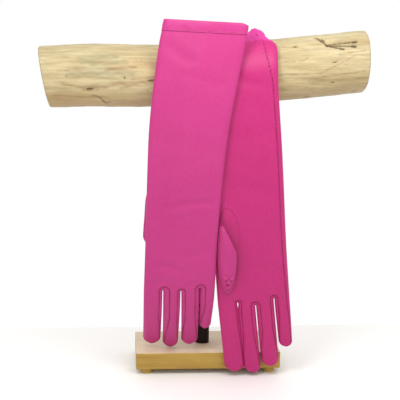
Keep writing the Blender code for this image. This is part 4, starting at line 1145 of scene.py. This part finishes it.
def seam_places(glove, seam, side, proud):
    """Places of a seam's points on one side of the glove, proud of its cloth or, below 0, sunk in it."""
    u, v, strips = np.array(seam).T
    n = np.empty(len(seam))
    for i in range(4):
        chosen = strips == i
        if chosen.any():
            n[chosen] = side_height(glove, u[chosen], v[chosen], i, side)[0]
    # On the hem the seam lies on top of the turned band
    flat = 0.8 if glove.palm_to_viewer else 0.0
    n = n + np.where(v < HEM_HEIGHT, HEM_PROUD * (1 - flat * ease(v / HEM_HEIGHT)), 0.0)
    return hang(glove, u, v, side * (n + proud))


def make_seams(glove):
    """Thin dark tubes sunk in the grooves of the gaps' seams and the side seam: painted shadow in the
    grooves.
    """
    parts = []
    for side in (-1, 1):
        # The first three seams go round the gaps, and the fourth, on the palm's side, is the side seam
        for seam in seams_of(glove, side)[:4]:
            parts.append(tube(seam_places(glove, seam, side, -GROOVE_DEPTH), SEAM_RADIUS))
    points, faces = joined(parts)
    return make_piece(f"{glove.name}_seam_lines", points, faces, SEAM_SHADOW_LINE)


def make_stitches(glove):
    """Short stitches round the thumb's root and, on the front glove, along the hem's lower edge."""
    parts = []
    seam = gusset_seam()
    for first in range(0, len(seam) - 3, 3):
        places = seam_places(glove, seam[first : first + 2], 1, 0.00002)
        parts.append(tube(places, 0.0002, 5))
    v = HEM_HEIGHT - 0.0022
    left, right = (float(edge) for edge in outline(glove, np.array(v)))
    for side in () if glove.palm_to_viewer else (-1, 1):
        u = left + 0.004
        while u < right - 0.006:
            n = side * (HALF_THICKNESS + STITCH_PROUD + STITCH_HEIGHTS)
            parts.append(tube(hang(glove, u + STITCH_POINTS, np.full(4, v), n), STITCH_RADIUS, 5))
            u += STITCH_PITCH
    points, faces = joined(parts)
    return make_piece(f"{glove.name}_hem_stitches", points, faces, THREAD)


for glove in (FRONT_GLOVE, REAR_GLOVE):
    make_shell(glove)
    make_hem(glove)
    make_lining(glove)
    make_thumb(glove)
    make_seams(glove)
    make_stitches(glove)
make_log()

# Board, feet and post keep their solids and get better materials

for node, finish in (("base_board", BOARD_WOOD), ("post", BLACK)):
    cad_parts[node].material_slots[0].material = finish
for node in ("foot_front_left", "foot_front_right", "foot_back_left", "foot_back_right"):
    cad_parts[node].material_slots[0].material = BOARD_WOOD

# Floor, light and camera

# The floor ends close behind the stand, where its edge meets the backdrop in the picture
FLOOR_SIZE = 3.0
FLOOR_BACK = 0.155


def make_floor():
    mesh = bpy.data.meshes.new("floor")
    near = [(-FLOOR_SIZE, -FLOOR_SIZE, 0), (FLOOR_SIZE, -FLOOR_SIZE, 0)]
    far = [(FLOOR_SIZE, FLOOR_BACK, 0), (-FLOOR_SIZE, FLOOR_BACK, 0)]
    mesh.from_pydata(near + far, [], [(0, 1, 2, 3)])
    floor = add_object("floor", mesh)
    nodes = Nodes("pale_floor")
    tone = nodes.noise((1.2, 1.2, 1.2), 2.0)
    colour = nodes.ramp(tone, [(0.3, (0.925, 0.918, 0.895)), (0.7, (0.94, 0.932, 0.912))])
    mesh.materials.append(nodes.finish(colour, 0.6))


def area_light(name, place, towards, size, power):
    light = bpy.data.lights.new(name, "AREA")
    light.shape = "RECTANGLE"
    light.size, light.size_y = size
    light.energy = power
    lamp = add_object(name, light)
    lamp.location = place
    lamp.rotation_euler = (Vector(towards) - Vector(place)).to_track_quat("-Z", "Y").to_euler()


make_floor()
world = bpy.data.worlds.new("studio")
world.use_nodes = True
world.node_tree.nodes["Background"].inputs["Color"].default_value = (1.0, 1.0, 1.0, 1.0)
world.node_tree.nodes["Background"].inputs["Strength"].default_value = 1.0
bpy.context.scene.world = world
area_light("key", (-0.15, -0.34, 0.59), (-0.01, -0.04, 0.38), (0.14, 0.10), 0.92)
area_light("fill", (0.15, -0.26, 0.55), (0.06, -0.03, 0.39), (0.18, 0.14), 0.55)

# The camera stands before the board, turned a little to the right and down.
CAMERA_PLACE = (-0.1045, -1.190, 0.432)
CAMERA_YAW = math.radians(4.53)
CAMERA_PITCH = math.radians(10.58)
CAMERA_ROLL = math.radians(0.9)
CAMERA_LENS = 88.92

yaw_sine, yaw_cosine = math.sin(CAMERA_YAW), math.cos(CAMERA_YAW)
flat, down = math.cos(CAMERA_PITCH), -math.sin(CAMERA_PITCH)
ahead = Vector((yaw_sine * flat, yaw_cosine * flat, down))
level = Vector((yaw_cosine, -yaw_sine, 0.0))
upright = level.cross(ahead)
right_way = math.cos(CAMERA_ROLL) * level + math.sin(CAMERA_ROLL) * upright
up_way = -math.sin(CAMERA_ROLL) * level + math.cos(CAMERA_ROLL) * upright
lens = bpy.data.cameras.new("camera")
lens.lens = CAMERA_LENS
lens.sensor_width = 36.0
lens.sensor_fit = "HORIZONTAL"
lens.clip_start = 0.01
camera = add_object("camera", lens)
turn = Matrix((right_way, up_way, -ahead)).transposed()
camera.matrix_world = Matrix.Translation(Vector(CAMERA_PLACE) + Vector(SHIFT)) @ turn.to_4x4()
bpy.context.scene.camera = camera
bpy.context.scene.view_settings.view_transform = "Standard"
